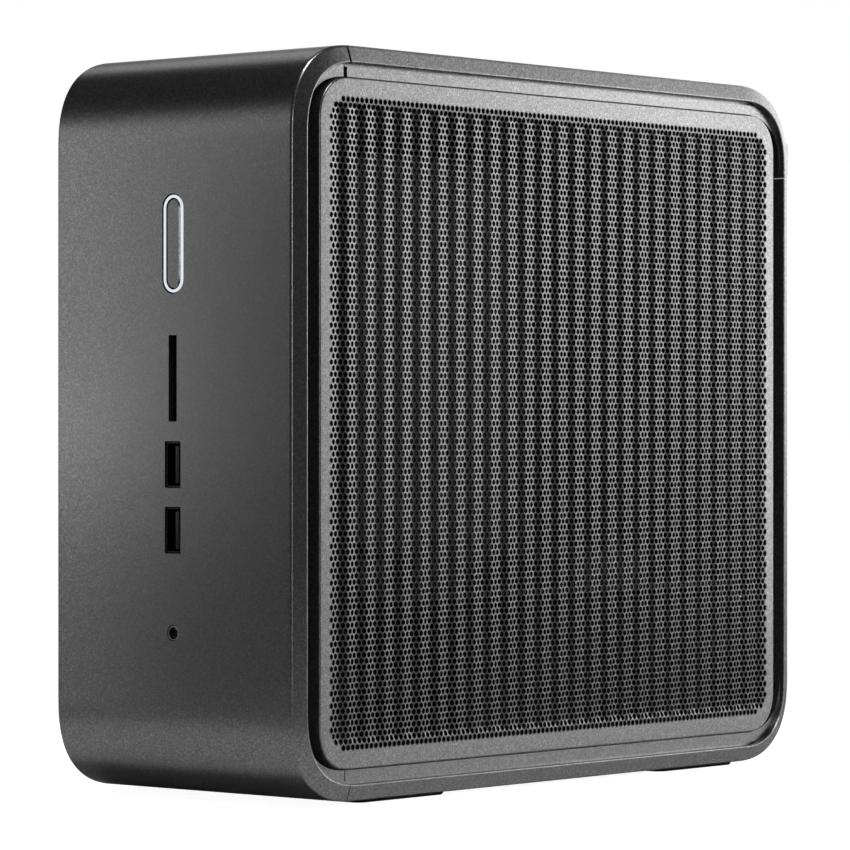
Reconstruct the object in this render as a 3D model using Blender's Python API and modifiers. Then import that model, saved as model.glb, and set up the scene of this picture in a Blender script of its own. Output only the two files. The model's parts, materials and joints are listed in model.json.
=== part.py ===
"""A five-litre mini PC: a tall, narrow case with two perforated side panels and a lift-off lid.

The frame stands on the ground at its origin: X across the width, the front face towards -Y, Z up.
Sizes below are in millimetres, and MM turns them into Blender's metres.
"""

import math

import bmesh
import bpy
from mathutils import Matrix, Vector

MM = 0.001
BEYOND = 5.0  # how far a cutter runs past what it cuts
GAP = 0.3  # air between a piece and the one that holds it

# The case
WIDTH = 96.0
HEIGHT = 216.0
DEPTH = 238.0  # front face to rear face
REAR_LIP = 2.4  # how far the lid's finger lip stands behind the rear face
FOOT_STAND = 1.2
FRONT = -(DEPTH + REAR_LIP) / 2
REAR = FRONT + DEPTH
CORNER = 27.0  # the case's rounded corners, seen from the side
CORNER_PROFILE = 2 ** (-2 / 2.5)  # a superellipse of exponent 2.5
CORNER_STEPS = 12
WALL = 2.0
RIM_RISE = 1.6  # the side rims slope outwards by this
RIM_RUN = 5.0  # over this distance from the case's edge
SIDE = WIDTH / 2 - RIM_RISE
RIM_FRONT = 5.3
RIM_REAR = 3.4
RIM_TOP = 5.1
RIM_BOTTOM = 4.9
OPENING_CORNER = 22.0
WEB = 43.2  # inner face of the webs behind the rims
LEDGE_BACK = 44.7
LEDGE_FACE = 45.7
LEDGE_BAND = 3.9  # from the rim's inner edge to the far side of the ledge
LEDGE_SLOT = 1.0
SEAM = 23.4  # where the front bezel ends, behind the front face
SEAM_GAP = 0.8
LOWER_SEAM_GAP = 0.3
LID_SPLIT = 187.5  # height of the lid's lower edge at the rear
LIP_RADIUS = 1.6
FOOT_X = 42.6
FOOT_Y = {"front": (FRONT + 33.0, FRONT + 72.0), "rear": (FRONT + 175.0, FRONT + 214.0)}
FOOT_POCKET = 0.9  # how far the feet reach up into the base

OPENING_Y = (FRONT + RIM_FRONT, REAR - RIM_REAR)
OPENING_Z = (FOOT_STAND + RIM_BOTTOM, HEIGHT - RIM_TOP)
THROUGH_Z = (OPENING_Z[0] + LEDGE_BAND - 0.9, OPENING_Z[1] - LEDGE_BAND)

# Side panels
PANEL_FACE = WIDTH / 2
PANEL_BACK = 44.0
PANEL_SKIN = 1.2
PANEL_Y = (FRONT + 10.0, REAR - 10.0)
PANEL_Z = (10.6, 206.6)
PANEL_CORNER = 12.5

# Side frames of the chassis, just inside the panels
FRAME_X = (42.9, 43.7)
FRAME_WINDOW_Y = (FRONT + 28.0, REAR - 20.0)
FRAME_WINDOW_Z = (16.8, 194.0)

# Lid
GRILLE_X = 36.0
GRILLE_Y = (FRONT + 36.0, REAR - 26.0)
GRILLE_CORNER = 10.0
GRILLE_Z = (213.6, 214.9)
LIP_X = 45.0
LIP_Z = (LID_SPLIT + GAP, 199.6)
THUMBSCREW_X = 33.0
THUMBSCREW_Z = 193.4
THUMBSCREW_HEAD = 4.0
THUMBSCREW_SHANK = 1.6
LID_FAN_SIZE = 80.0
LID_FAN_THICK = 15.0
LID_FAN_TOP = 213.2
LID_FAN_Y = tuple(sum(GRILLE_Y) / 2 + side * 41.0 for side in (-1, 1))
LID_FAN_DUCT = 38.2
LID_FAN_SCREW = 35.75  # from the fan's middle to its screw holes
HUB_RADIUS = 17.0
STRUT = (3.0, 2.0)  # width and height
SHAFT_RADIUS = 1.5
SHAFT_BORE = 1.62

# Front face
FRONT_X = 0.4  # centre line of the controls
BUTTON_Z = 160.1
BUTTON_SIZE = (5.1, 25.5)
RING_INNER = (5.5, 25.9)
RING_OUTER = (8.1, 28.4)
RING_HOLE = (8.5, 28.8)
BUTTON_TRAVEL = 1.0
BUTTON_DEPTH = 5.5
SD_Z = 121.5
SD_HOLE = (3.2, 24.8)
USB_Z = (78.0, 96.8)
USB_HOLE = (6.3, 13.4)
AUDIO_Z = 48.5
AUDIO_HOLE_RADIUS = 2.3
FRONT_BOARD_Y = (FRONT + 9.0, FRONT + 10.6)

# Inside
BULKHEAD_Y = (FRONT + 25.5, FRONT + 26.7)
REAR_PANEL_Y = (REAR - 4.2, REAR - 3.0)
BRACKET_Y = (REAR - 5.8, REAR - 4.6)
WINDOW_Z = (64.0, 184.0)
REAR_WINDOW_X = 41.0
REAR_WINDOW_Z = (14.0, 184.0)
PSU_X = 40.75
PSU_Y = (REAR - 156.5, REAR - 6.5)
PSU_Z = (12.0, 52.5)
PSU_FAN = (19.0, 32.2)  # x and z of its axis
PSU_FAN_DUCT = 17.6
PSU_INLET_X = (-33.0, -5.6)
PSU_INLET_Z = (23.0, 42.6)
PSU_INLET_DEPTH = 18.0
PSU_SCREWS = {"left": (-37.2, 48.6), "right": (37.6, 48.6)}
HARNESS_RADIUS = 3.6
SHELF_Z = (53.4, 54.6)
BOARD_Z = (57.0, 58.6)
BOARD_Y = (FRONT + 48.0, REAR - 10.0)
SLOT_TOP = 69.6
COMPUTE_SLOT_X = -6.0
GRAPHICS_SLOT_X = 11.5
EXPANSION_SLOT_X = 31.8
COVER_X = (-41.5, -8.0)
COVER_Y = (FRONT + 34.0, REAR - 10.0)
COVER_Z = (72.0, 190.0)
COMPUTE_BOARD_X = (-6.8, -5.2)
BLOWER_Y = FRONT + 80.0
BLOWER_Z = 131.0
PORT_Y = (REAR - 19.0, REAR - 2.6)
SLOT_END = REAR - 60.0  # rear end of the sockets on the baseboard
SLOT_LENGTHS = {"compute": 90.0, "graphics": 89.0, "expansion": 39.0}
PROCESSOR_Y = REAR - 72.0
PROCESSOR_HALF = 18.0
HEATSINK_X = (-38.0, -9.0)
HEATSINK_Y = (REAR - 114.0, REAR - 34.0)
HEATSINK_Z = (84.0, 178.0)
HEATSINK_BASE = 3.0
FIN_PITCH = 6.0
FIN = 1.2
BLOWER_PLATE_X = (-22.4, -20.6)
BLOWER_PLATE_HALF = 33.0
BLOWER_X = -31.0
BLOWER_DISC = 30.0
COVER_SKIN = 1.2

# Rear face
SLIT_DEPTH = 0.8  # the covers' slits stop short of the inner face
USB_STACK_X = (-23.6, -7.4)
USB_STACK_Z = {"upper": 155.5, "lower": 139.0}
USB_STACK_HEIGHT = 14.0
USB_MOUTHS_X = ((-22.6, -17.5), (-14.0, -8.9))
USB_MOUTH_INSET = 0.8
# the other sockets: x pair, z pair, and the walls beside and above the mouth
SINGLE_SOCKETS = {
    "rear_lan_upper": ((-21.4, -7.4), (120.8, 136.6), (1.2, 1.5)),
    "rear_lan_lower": ((-21.4, -7.4), (103.2, 119.0), (1.2, 1.5)),
    "rear_usb_c_upper": ((-11.0, -7.6), (92.6, 101.6), (0.5, 0.5)),
    "rear_usb_c_lower": ((-11.0, -7.6), (82.0, 91.0), (0.5, 0.5)),
    "rear_video": ((-13.4, -7.5), (65.6, 80.6), (0.6, 0.6)),
}
SOCKET_DEPTH = 12.0
REAR_AUDIO = (-14.0, 177.0)
AUDIO_RADIUS = 3.6
AUDIO_BORE = 1.8

# colour, roughness, metallic
FINISHES = {
    "case_paint": ((0.085, 0.085, 0.088), 0.42, 0.6),
    "panel_paint": ((0.14, 0.14, 0.145), 0.45, 0.6),
    "chassis_steel": ((0.02, 0.02, 0.021), 0.5, 0.5),
    "bare_steel": ((0.55, 0.55, 0.56), 0.35, 1.0),
    "foot_rubber": ((0.012, 0.012, 0.012), 0.8, 0.0),
    "light_guide": ((0.83, 0.88, 0.96), 0.3, 0.0),
    "black_plastic": ((0.015, 0.015, 0.016), 0.5, 0.0),
    "circuit_board": ((0.012, 0.03, 0.022), 0.4, 0.0),
    "heatsink": ((0.6, 0.61, 0.62), 0.35, 1.0),
    "fan_plastic": ((0.02, 0.02, 0.02), 0.45, 0.0),
    "cable_sleeve": ((0.018, 0.018, 0.018), 0.7, 0.0),
}


def clear_scene():
    for obj in list(bpy.data.objects):
        bpy.data.objects.remove(obj, do_unlink=True)


def new_collection(name):
    collection = bpy.data.collections.new(name)
    bpy.context.scene.collection.children.link(collection)
    return collection


def make_finishes():
    made = {}
    for name, (colour, roughness, metallic) in FINISHES.items():
        finish = bpy.data.materials.new(name)
        finish.use_nodes = True
        shader = finish.node_tree.nodes["Principled BSDF"]
        shader.inputs["Base Color"].default_value = (*colour, 1.0)
        shader.inputs["Roughness"].default_value = roughness
        shader.inputs["Metallic"].default_value = metallic
        made[name] = finish
    return made


clear_scene()
PARTS = new_collection("mini_pc")
CUTTERS = new_collection("cutters")
MATERIALS = make_finishes()


def place(name, bm, centre, finish=None):
    """Turns the bmesh, in millimetres about its own centre, into an object there.
    With no finish it is a cutter."""
    bmesh.ops.scale(bm, vec=(MM, MM, MM), verts=bm.verts)
    bmesh.ops.recalc_face_normals(bm, faces=bm.faces)
    mesh = bpy.data.meshes.new(name)
    bm.to_mesh(mesh)
    bm.free()
    obj = bpy.data.objects.new(name, mesh)
    obj.location = Vector(centre) * MM
    if finish is None:
        CUTTERS.objects.link(obj)
        hide(obj)
    else:
        PARTS.objects.link(obj)
        mesh.materials.append(MATERIALS[finish])
    return obj


def smooth(obj):
    """Rounds the shading, with the corners left sharp."""
    obj.data.shade_smooth()
    obj.data.set_sharp_from_angle(angle=math.radians(35))
    return obj


def hide(obj):
    obj.hide_render = True
    obj.display_type = "WIRE"


def box_mesh(size, round_along=None, radius=0.0, profile=0.5, steps=4):
    """A box about the origin, with its four edges along one axis rounded."""
    bm = bmesh.new()
    bmesh.ops.create_cube(bm, size=1.0)
    bmesh.ops.scale(bm, vec=size, verts=bm.verts)
    if round_along is not None:
        axis = "XYZ".index(round_along)
        edges = [e for e in bm.edges if abs((e.verts[0].co - e.verts[1].co)[axis]) > 1e-6]
        bmesh.ops.bevel(
            bm, geom=edges, offset=radius, segments=steps, profile=profile, affect="EDGES"
        )
    return bm


def block(name, x, y, z, finish=None, **rounding):
    """A box between pairs of faces."""
    sides = (x, y, z)
    size = [high - low for low, high in sides]
    centre = [(low + high) / 2 for low, high in sides]
    return place(name, box_mesh(size, **rounding), centre, finish)


def blocks(name, boxes, finish=None):
    """Several boxes in one mesh, for cutting or joining them all at once."""
    bm = bmesh.new()
    for x, y, z in boxes:
        size = [high - low for low, high in (x, y, z)]
        centre = Vector([(low + high) / 2 for low, high in (x, y, z)])
        move = Matrix.Translation(centre) @ Matrix.Diagonal((*size, 1.0))
        bmesh.ops.create_cube(bm, size=1.0, matrix=move)
    return place(name, bm, (0, 0, 0), finish)


def turn_to(axis):
    """The rotation that takes +Z to the axis."""
    return {
        "X": Matrix.Rotation(math.radians(90), 4, "Y"),
        "Y": Matrix.Rotation(math.radians(-90), 4, "X"),
        "Z": Matrix.Identity(4),
    }[axis]


def cylinder(name, centre, axis, radius, length, finish=None, steps=32):
    bm = bmesh.new()
    bmesh.ops.create_cone(
        bm,
        cap_ends=True,
        segments=steps,
        radius1=radius,
        radius2=radius,
        depth=length,
        matrix=turn_to(axis),
    )
    return smooth(place(name, bm, centre, finish))


def pill(name, size, z, y, finish=None, steps=10):
    """An upright slot shape with round ends, on the front's centre line."""
    width, height = size
    return block(
        name,
        (FRONT_X - width / 2, FRONT_X + width / 2),
        y,
        (z - height / 2, z + height / 2),
        finish,
        round_along="Y",
        radius=width / 2 - 0.001,
        steps=steps,
    )


def boolean(part, other, operation):
    modifier = part.modifiers.new(operation.lower() + "_" + other.name, "BOOLEAN")
    modifier.operation = operation
    modifier.solver = "EXACT"
    modifier.object = other
    return part


def cut(part, *cutters):
    for cutter in cutters:
        boolean(part, cutter, "DIFFERENCE")
    return part


def join(part, *others):
    for other in others:
        boolean(part, other, "UNION")
    return part


def keep(part, region):
    return boolean(part, region, "INTERSECT")


# The case's three outer pieces


def case_block(name):
    """The whole case as one solid, with side faces that slope out to the rims' inner edges."""
    size = (2 * SIDE, DEPTH, HEIGHT - FOOT_STAND)
    bm = box_mesh(size, "X", CORNER, CORNER_PROFILE, CORNER_STEPS)
    sides = [face for face in bm.faces if abs(face.normal.x) > 0.9]
    bmesh.ops.inset_region(
        bm, faces=sides, thickness=RIM_RUN, depth=RIM_RISE, use_even_offset=True
    )
    return place(name, bm, (0, (FRONT + REAR) / 2, (FOOT_STAND + HEIGHT) / 2), "case_paint")


def case_cutters():
    """What hollows the case: the core, the side openings and the slots beside the ledges."""
    core = block(
        "cut_core",
        (-WEB, WEB),
        (FRONT + WALL, REAR - WALL),
        (FOOT_STAND + WALL, HEIGHT - WALL),
        round_along="X",
        radius=CORNER - WALL,
        profile=CORNER_PROFILE,
        steps=CORNER_STEPS,
    )
    rounding = {
        "round_along": "X",
        "radius": OPENING_CORNER,
        "profile": CORNER_PROFILE,
        "steps": CORNER_STEPS,
    }
    reach = WIDTH / 2 + BEYOND
    through_y = (OPENING_Y[0] + 0.1, OPENING_Y[1] - 0.1)
    through_z = (OPENING_Z[0] + 0.1, OPENING_Z[1] - 0.1)
    through = block("cut_through", (-reach, reach), through_y, through_z, **rounding)
    keep(through, block("region_through", (-2 * reach, 2 * reach), (FRONT, REAR), THROUGH_Z))
    found = [core, through]
    slot_y = (FRONT + SEAM, REAR - CORNER)
    for label, side in (("left", -1), ("right", 1)):
        x = sorted((side * LEDGE_FACE, side * reach))
        found.append(block("cut_opening_" + label, x, OPENING_Y, OPENING_Z, **rounding))
        x = sorted((side * LEDGE_BACK, side * (LEDGE_FACE + GAP)))
        edges = (
            (OPENING_Z[1] - LEDGE_SLOT, OPENING_Z[1]),
            (OPENING_Z[0], OPENING_Z[0] + LEDGE_SLOT),
        )
        found.append(blocks("cut_ledge_slots_" + label, [(x, slot_y, z) for z in edges]))
    return found


def make_front_bezel(hollows):
    bezel = cut(case_block("front_bezel"), *hollows)
    y = (FRONT - BEYOND, FRONT + SEAM - SEAM_GAP / 2)
    keep(bezel, block("region_bezel", (-WIDTH, WIDTH), y, (-BEYOND, HEIGHT + BEYOND)))
    wall_y = (FRONT - BEYOND, FRONT + WALL + 1.0)
    cut(bezel, pill("cut_ring_hole", RING_HOLE, BUTTON_Z, wall_y, steps=8))
    holes = [(SD_HOLE, SD_Z)] + [(USB_HOLE, z) for z in USB_Z]
    boxes = [
        (
            (FRONT_X - width / 2, FRONT_X + width / 2),
            wall_y,
            (z - height / 2, z + height / 2),
        )
        for (width, height), z in holes
    ]
    cut(bezel, blocks("cut_port_holes", boxes))
    audio = (FRONT_X, FRONT, AUDIO_Z)
    cut(bezel, cylinder("cut_audio_hole", audio, "Y", AUDIO_HOLE_RADIUS, 8.0, steps=20))
    return bezel


def make_top_lid(hollows):
    lid = cut(case_block("top_lid"), *hollows)
    y = (FRONT + SEAM + SEAM_GAP / 2, REAR + BEYOND)
    z = (LID_SPLIT + LOWER_SEAM_GAP / 2, HEIGHT + BEYOND)
    keep(lid, block("region_lid", (-WIDTH, WIDTH), y, z))
    lip = block(
        "add_finger_lip",
        (-LIP_X, LIP_X),
        (REAR - 1.0, REAR + REAR_LIP),
        LIP_Z,
        round_along="X",
        radius=LIP_RADIUS,
        steps=3,
    )
    join(lid, lip)
    window = block(
        "cut_grille_window",
        (-GRILLE_X, GRILLE_X),
        GRILLE_Y,
        (HEIGHT - 2 * WALL, HEIGHT + BEYOND),
        round_along="Z",
        radius=GRILLE_CORNER,
        steps=6,
    )
    cut(lid, window)
    for label, side in (("left", -1), ("right", 1)):
        x = side * THUMBSCREW_X
        pocket = (x, REAR + BEYOND - 0.4, THUMBSCREW_Z)
        shank = (x, REAR, THUMBSCREW_Z)
        cut(
            lid,
            cylinder("cut_pocket_" + label, pocket, "Y", THUMBSCREW_HEAD + GAP, 2 * BEYOND),
            cylinder("cut_shank_" + label, shank, "Y", THUMBSCREW_SHANK + GAP, 20.0, steps=16),
        )
    return lid


def make_base_shell(hollows):
    base = cut(case_block("base_shell"), *hollows)
    y = (FRONT + SEAM - SEAM_GAP / 2 + LOWER_SEAM_GAP, REAR + BEYOND)
    z = (-BEYOND, LID_SPLIT - LOWER_SEAM_GAP / 2)
    keep(base, block("region_base", (-WIDTH, WIDTH), y, z))
    window = block(
        "cut_rear_window",
        (-REAR_WINDOW_X, REAR_WINDOW_X),
        (REAR - 12.0, REAR + BEYOND),
        REAR_WINDOW_Z,
        round_along="Y",
        radius=3.0,
        steps=3,
    )
    cut(base, window)
    pockets = [
        ((-x, x), (low - GAP, high + GAP), (-BEYOND, FOOT_STAND + FOOT_POCKET))
        for x, (low, high) in ((FOOT_X + GAP, span) for span in FOOT_Y.values())
    ]
    return cut(base, blocks("cut_foot_pockets", pockets))


def make_feet():
    for name, span in FOOT_Y.items():
        block(
            name + "_foot",
            (-FOOT_X, FOOT_X),
            span,
            (0.0, FOOT_STAND + FOOT_POCKET - GAP),
            "foot_rubber",
            round_along="Z",
            radius=3.0,
            steps=4,
        )


def make_side_panel(label, side):
    """A shallow tray: a flat face with its edges folded back."""
    panel = block(
        label + "_side_panel",
        sorted((side * PANEL_BACK, side * PANEL_FACE)),
        PANEL_Y,
        PANEL_Z,
        "panel_paint",
        round_along="X",
        radius=PANEL_CORNER,
        steps=8,
    )
    inner_face = side * (PANEL_FACE - PANEL_SKIN)
    hollow = block(
        "cut_panel_" + label,
        sorted((inner_face, side * (PANEL_BACK - BEYOND))),
        (PANEL_Y[0] + PANEL_SKIN, PANEL_Y[1] - PANEL_SKIN),
        (PANEL_Z[0] + PANEL_SKIN, PANEL_Z[1] - PANEL_SKIN),
        round_along="X",
        radius=PANEL_CORNER - PANEL_SKIN,
        steps=8,
    )
    return cut(panel, hollow)


def make_inner_frame(label, side):
    """The chassis's side frame: a thin plate behind the panel, open over the bay."""
    frame = block(
        label + "_inner_frame",
        sorted((side * FRAME_X[0], side * FRAME_X[1])),
        (OPENING_Y[0] + 0.5, OPENING_Y[1] - 0.5),
        (THROUGH_Z[0] + 0.5, THROUGH_Z[1] - 0.5),
        "chassis_steel",
        round_along="X",
        radius=OPENING_CORNER - 2.0,
        steps=6,
    )
    window = block(
        "cut_frame_" + label,
        sorted((side * WEB / 2, side * WIDTH)),
        FRAME_WINDOW_Y,
        FRAME_WINDOW_Z,
        round_along="X",
        radius=8.0,
        steps=4,
    )
    return cut(frame, window)


def make_top_grille():
    return block(
        "top_grille",
        (-GRILLE_X + GAP, GRILLE_X - GAP),
        (GRILLE_Y[0] + GAP, GRILLE_Y[1] - GAP),
        GRILLE_Z,
        "panel_paint",
        round_along="Z",
        radius=GRILLE_CORNER - GAP,
        steps=6,
    )


def make_thumbscrew(label, side):
    """A captive screw, turned from its profile: a low head with a slot, and a plain shank."""
    head_back = REAR - 0.1
    head_face = REAR + REAR_LIP - 0.2
    tip = REAR_PANEL_Y[0] - 3.0
    profile = [
        (0.0, head_face),
        (THUMBSCREW_HEAD - 0.5, head_face),
        (THUMBSCREW_HEAD, head_face - 0.5),
        (THUMBSCREW_HEAD, head_back),
        (THUMBSCREW_SHANK, head_back),
        (THUMBSCREW_SHANK, tip),
        (0.0, tip),
    ]
    mesh = bpy.data.meshes.new("thumbscrew_" + label)
    points = [(radius * MM, (y - REAR) * MM, 0.0) for radius, y in profile]
    mesh.from_pydata(points, [(i, i + 1) for i in range(len(points) - 1)], [])
    screw = bpy.data.objects.new("thumbscrew_" + label, mesh)
    PARTS.objects.link(screw)
    mesh.materials.append(MATERIALS["bare_steel"])
    screw.location = Vector((side * THUMBSCREW_X, REAR, THUMBSCREW_Z)) * MM
    turned = screw.modifiers.new("turned", "SCREW")
    turned.axis = "Y"
    turned.steps = 24
    turned.render_steps = 24
    turned.use_merge_vertices = True
    turned.merge_threshold = 0.00001
    turned.use_normal_calculate = True
    slot_y = (head_face - 1.0, head_face + BEYOND)
    x = side * THUMBSCREW_X
    slot = block(
        "cut_screw_slot_" + label,
        (x - 3.2, x + 3.2),
        slot_y,
        (THUMBSCREW_Z - 0.6, THUMBSCREW_Z + 0.6),
    )
    return cut(screw, slot)


# Fans


def blades_mesh(count, radii, chord, thickness, pitch):
    """Flat blades about Z, each turned by its pitch about its own radius."""
    bm = bmesh.new()
    inner, outer = radii
    for i in range(count):
        shape = Matrix.Diagonal((outer - inner, chord, thickness, 1.0))
        tilt = Matrix.Rotation(math.radians(pitch), 4, "X")
        out = Matrix.Translation(((inner + outer) / 2, 0, 0))
        around = Matrix.Rotation(math.tau * i / count, 4, "Z")
        bmesh.ops.create_cube(bm, size=1.0, matrix=around @ out @ tilt @ shape)
    return bm


def make_rotor(name, centre, axis, hub, radii, chord, thickness, pitch, shaft_to, count=7):
    """A hub with blades, and a shaft that reaches shaft_to along the axis from the centre."""
    hub_radius, hub_length = hub
    rotor = cylinder(name, centre, axis, hub_radius, hub_length, "fan_plastic", steps=24)
    bm = blades_mesh(count, radii, chord, thickness, pitch)
    bmesh.ops.transform(bm, matrix=turn_to(axis), verts=bm.verts)
    blades = place("add_blades_" + name, bm, centre)
    along = turn_to(axis).to_3x3() @ Vector((0, 0, 1))
    shaft_at = Vector(centre) + along * (shaft_to / 2)
    shaft = cylinder("add_shaft_" + name, shaft_at, axis, SHAFT_RADIUS, abs(shaft_to), steps=16)
    return join(rotor, blades, shaft)


def make_lid_fan(label, y):
    low = LID_FAN_TOP - LID_FAN_THICK
    half = LID_FAN_SIZE / 2
    hub_top = low + 3.0
    frame = block(
        "lid_fan_" + label + "_frame",
        (-half, half),
        (y - half, y + half),
        (low, LID_FAN_TOP),
        "fan_plastic",
        round_along="Z",
        radius=4.0,
        steps=3,
    )
    middle = (low + LID_FAN_TOP) / 2
    cut(frame, cylinder("cut_duct_" + label, (0, y, middle), "Z", LID_FAN_DUCT, 30.0, steps=40))
    reach = LID_FAN_DUCT + 0.8
    width, height = STRUT
    struts = [
        ((-reach, reach), (y - width / 2, y + width / 2), (low, low + height)),
        ((-width / 2, width / 2), (y - reach, y + reach), (low, low + height)),
    ]
    for i, strut in enumerate(struts):
        join(frame, block(f"add_strut_{label}_{i}", *strut))
    motor = (0, y, low + 1.5)
    join(frame, cylinder("add_motor_" + label, motor, "Z", HUB_RADIUS, 3.0, steps=24))
    cut(frame, cylinder("cut_bore_" + label, (0, y, low + 2.3), "Z", SHAFT_BORE, 3.0, steps=16))
    for i, (x_side, y_side) in enumerate(((-1, -1), (1, -1), (-1, 1), (1, 1))):
        at = (x_side * LID_FAN_SCREW, y + y_side * LID_FAN_SCREW, middle)
        cut(frame, cylinder(f"cut_ear_{label}_{i}", at, "Z", 2.15, 30.0, steps=10))
    centre = (0, y, hub_top + 0.6 + 5.0)
    make_rotor(
        "lid_fan_" + label + "_rotor",
        centre,
        "Z",
        hub=(HUB_RADIUS, 10.0),
        radii=(HUB_RADIUS - 2.0, LID_FAN_DUCT - 1.6),
        chord=14.0,
        thickness=1.2,
        pitch=32.0,
        shaft_to=-7.6,
    )


def make_lid_fans():
    for label, y in zip(("front", "rear"), LID_FAN_Y, strict=True):
        make_lid_fan(label, y)


# Front controls and sockets


def make_power_button():
    pill(
        "power_button", BUTTON_SIZE, BUTTON_Z, (FRONT + 0.2, FRONT + BUTTON_DEPTH), "case_paint"
    )
    ring = pill(
        "power_button_ring", RING_OUTER, BUTTON_Z, (FRONT + 0.1, FRONT + 8.6), "light_guide"
    )
    cut(ring, pill("cut_ring", RING_INNER, BUTTON_Z, (FRONT - BEYOND, FRONT + 3 * BEYOND)))
    block(
        "button_switch",
        (FRONT_X - 1.8, FRONT_X + 1.8),
        (FRONT + BUTTON_DEPTH + BUTTON_TRAVEL + 0.2, FRONT_BOARD_Y[0] - GAP),
        (BUTTON_Z - 3.0, BUTTON_Z + 3.0),
        "black_plastic",
        round_along="Y",
        radius=0.8,
        steps=3,
    )


def make_front_board():
    return block("front_io_board", (-11.0, 11.0), FRONT_BOARD_Y, (38.0, 180.0), "circuit_board")


def make_socket(name, x, y, z, mouth, depth, finish="bare_steel"):
    """A socket's shell, open at the mouth. mouth is (x pair, z pair), and depth is how far it runs in.
    The mouth faces -Y where depth is positive, and +Y where it is negative."""
    shell = block(name, x, y, z, finish, round_along="Y", radius=0.4, steps=2)
    face, back = (y[0], y[0] + depth) if depth > 0 else (y[1], y[1] + depth)
    mouth_y = sorted((face - math.copysign(BEYOND, depth), back))
    return cut(shell, block("cut_" + name, mouth[0], mouth_y, mouth[1]))


def make_front_sockets():
    y = (FRONT + 0.5, FRONT_BOARD_Y[0] - GAP)
    for label, z in zip(("lower", "upper"), USB_Z, strict=True):
        shell = make_socket(
            "front_usb_" + label,
            (FRONT_X - 2.85, FRONT_X + 2.85),
            y,
            (z - 6.4, z + 6.4),
            ((FRONT_X - 2.55, FRONT_X + 2.55), (z - 6.1, z + 6.1)),
            7.2,
        )
        tongue_y = (y[0] + 0.6, y[1] - 0.5)
        tongue = ((FRONT_X - 0.2, FRONT_X + 1.5), tongue_y, (z - 5.5, z + 5.5))
        join(shell, block("add_tongue_" + label, *tongue))
    make_socket(
        "sd_card_slot",
        (FRONT_X - 2.4, FRONT_X + 2.4),
        (FRONT + WALL + GAP, FRONT_BOARD_Y[0] - GAP),
        (SD_Z - 14.0, SD_Z + 14.0),
        ((FRONT_X - 1.4, FRONT_X + 1.4), (SD_Z - 12.2, SD_Z + 12.2)),
        5.0,
        "black_plastic",
    )
    jack = cylinder(
        "front_audio_jack",
        (FRONT_X, FRONT + 5.5, AUDIO_Z),
        "Y",
        3.4,
        6.2,
        "black_plastic",
        steps=24,
    )
    bore = (FRONT_X, FRONT + 4.0, AUDIO_Z)
    cut(jack, cylinder("cut_front_audio", bore, "Y", 1.8, 7.0, steps=16))


# The chassis


def make_chassis():
    top = PSU_Z[0] - GAP
    floor = FOOT_STAND + WALL + GAP
    y = (FRONT + 76.0, PSU_Y[1] - 20.0)
    tray = block("psu_tray", (-PSU_X, PSU_X), y, (top - 1.2, top), "chassis_steel")
    legs = [
        (sorted((side * PSU_X, side * (PSU_X - 1.2))), y, (floor, top - 0.4)) for side in (-1, 1)
    ]
    for i, leg in enumerate(legs):
        join(tray, block(f"add_tray_leg_{i}", *leg))
    block("board_shelf", (-42.4, 42.4), (BOARD_Y[0] - 2.0, REAR - 6.2), SHELF_Z, "chassis_steel")
    bulkhead = block(
        "front_bulkhead", (-42.4, 42.4), BULKHEAD_Y, (SHELF_Z[1] + 2.0, 195.0), "chassis_steel"
    )
    vents = [
        ((x - 1.6, x + 1.6), (BULKHEAD_Y[0] - 1, BULKHEAD_Y[1] + 1), (80.0, 180.0))
        for x in range(-35, 36, 7)
    ]
    cut(bulkhead, blocks("cut_bulkhead_vents", vents))
    return tray


def make_rear_panel():
    panel = block(
        "rear_panel", (-42.6, 42.6), REAR_PANEL_Y, (SHELF_Z[0], 197.4), "chassis_steel"
    )
    y = (REAR_PANEL_Y[0] - 1.0, REAR_PANEL_Y[1] + 1.0)
    windows = [(x, y, WINDOW_Z) for x in ((-40.0, -5.0), (3.5, 19.5), (23.5, 39.5))]
    cut(panel, blocks("cut_rear_windows", windows))
    for label, side in (("left", -1), ("right", 1)):
        x = side * THUMBSCREW_X
        half = THUMBSCREW_SHANK + GAP
        notch = ((x - half, x + half), y, (THUMBSCREW_Z - half, HEIGHT))
        cut(panel, block("cut_notch_" + label, *notch))
    return panel


def slit_y():
    """From inside the sheet to past its rear face."""
    return (BRACKET_Y[1] - SLIT_DEPTH, BRACKET_Y[1] + 1.0)


def make_slot_covers():
    for label, x in (("inner", (2.6, 20.4)), ("outer", (22.6, 40.4))):
        cover = block(
            "slot_cover_" + label,
            x,
            BRACKET_Y,
            (WINDOW_Z[0] - 3.0, WINDOW_Z[1] + 5.0),
            "chassis_steel",
        )
        middle = sum(x) / 2
        x = (middle - 5.5, middle + 5.5)
        slits = [(x, slit_y(), (z - 1.0, z + 1.0)) for z in range(74, 178, 6)]
        cut(cover, blocks("cut_slits_" + label, slits))


# The power supply


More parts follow.
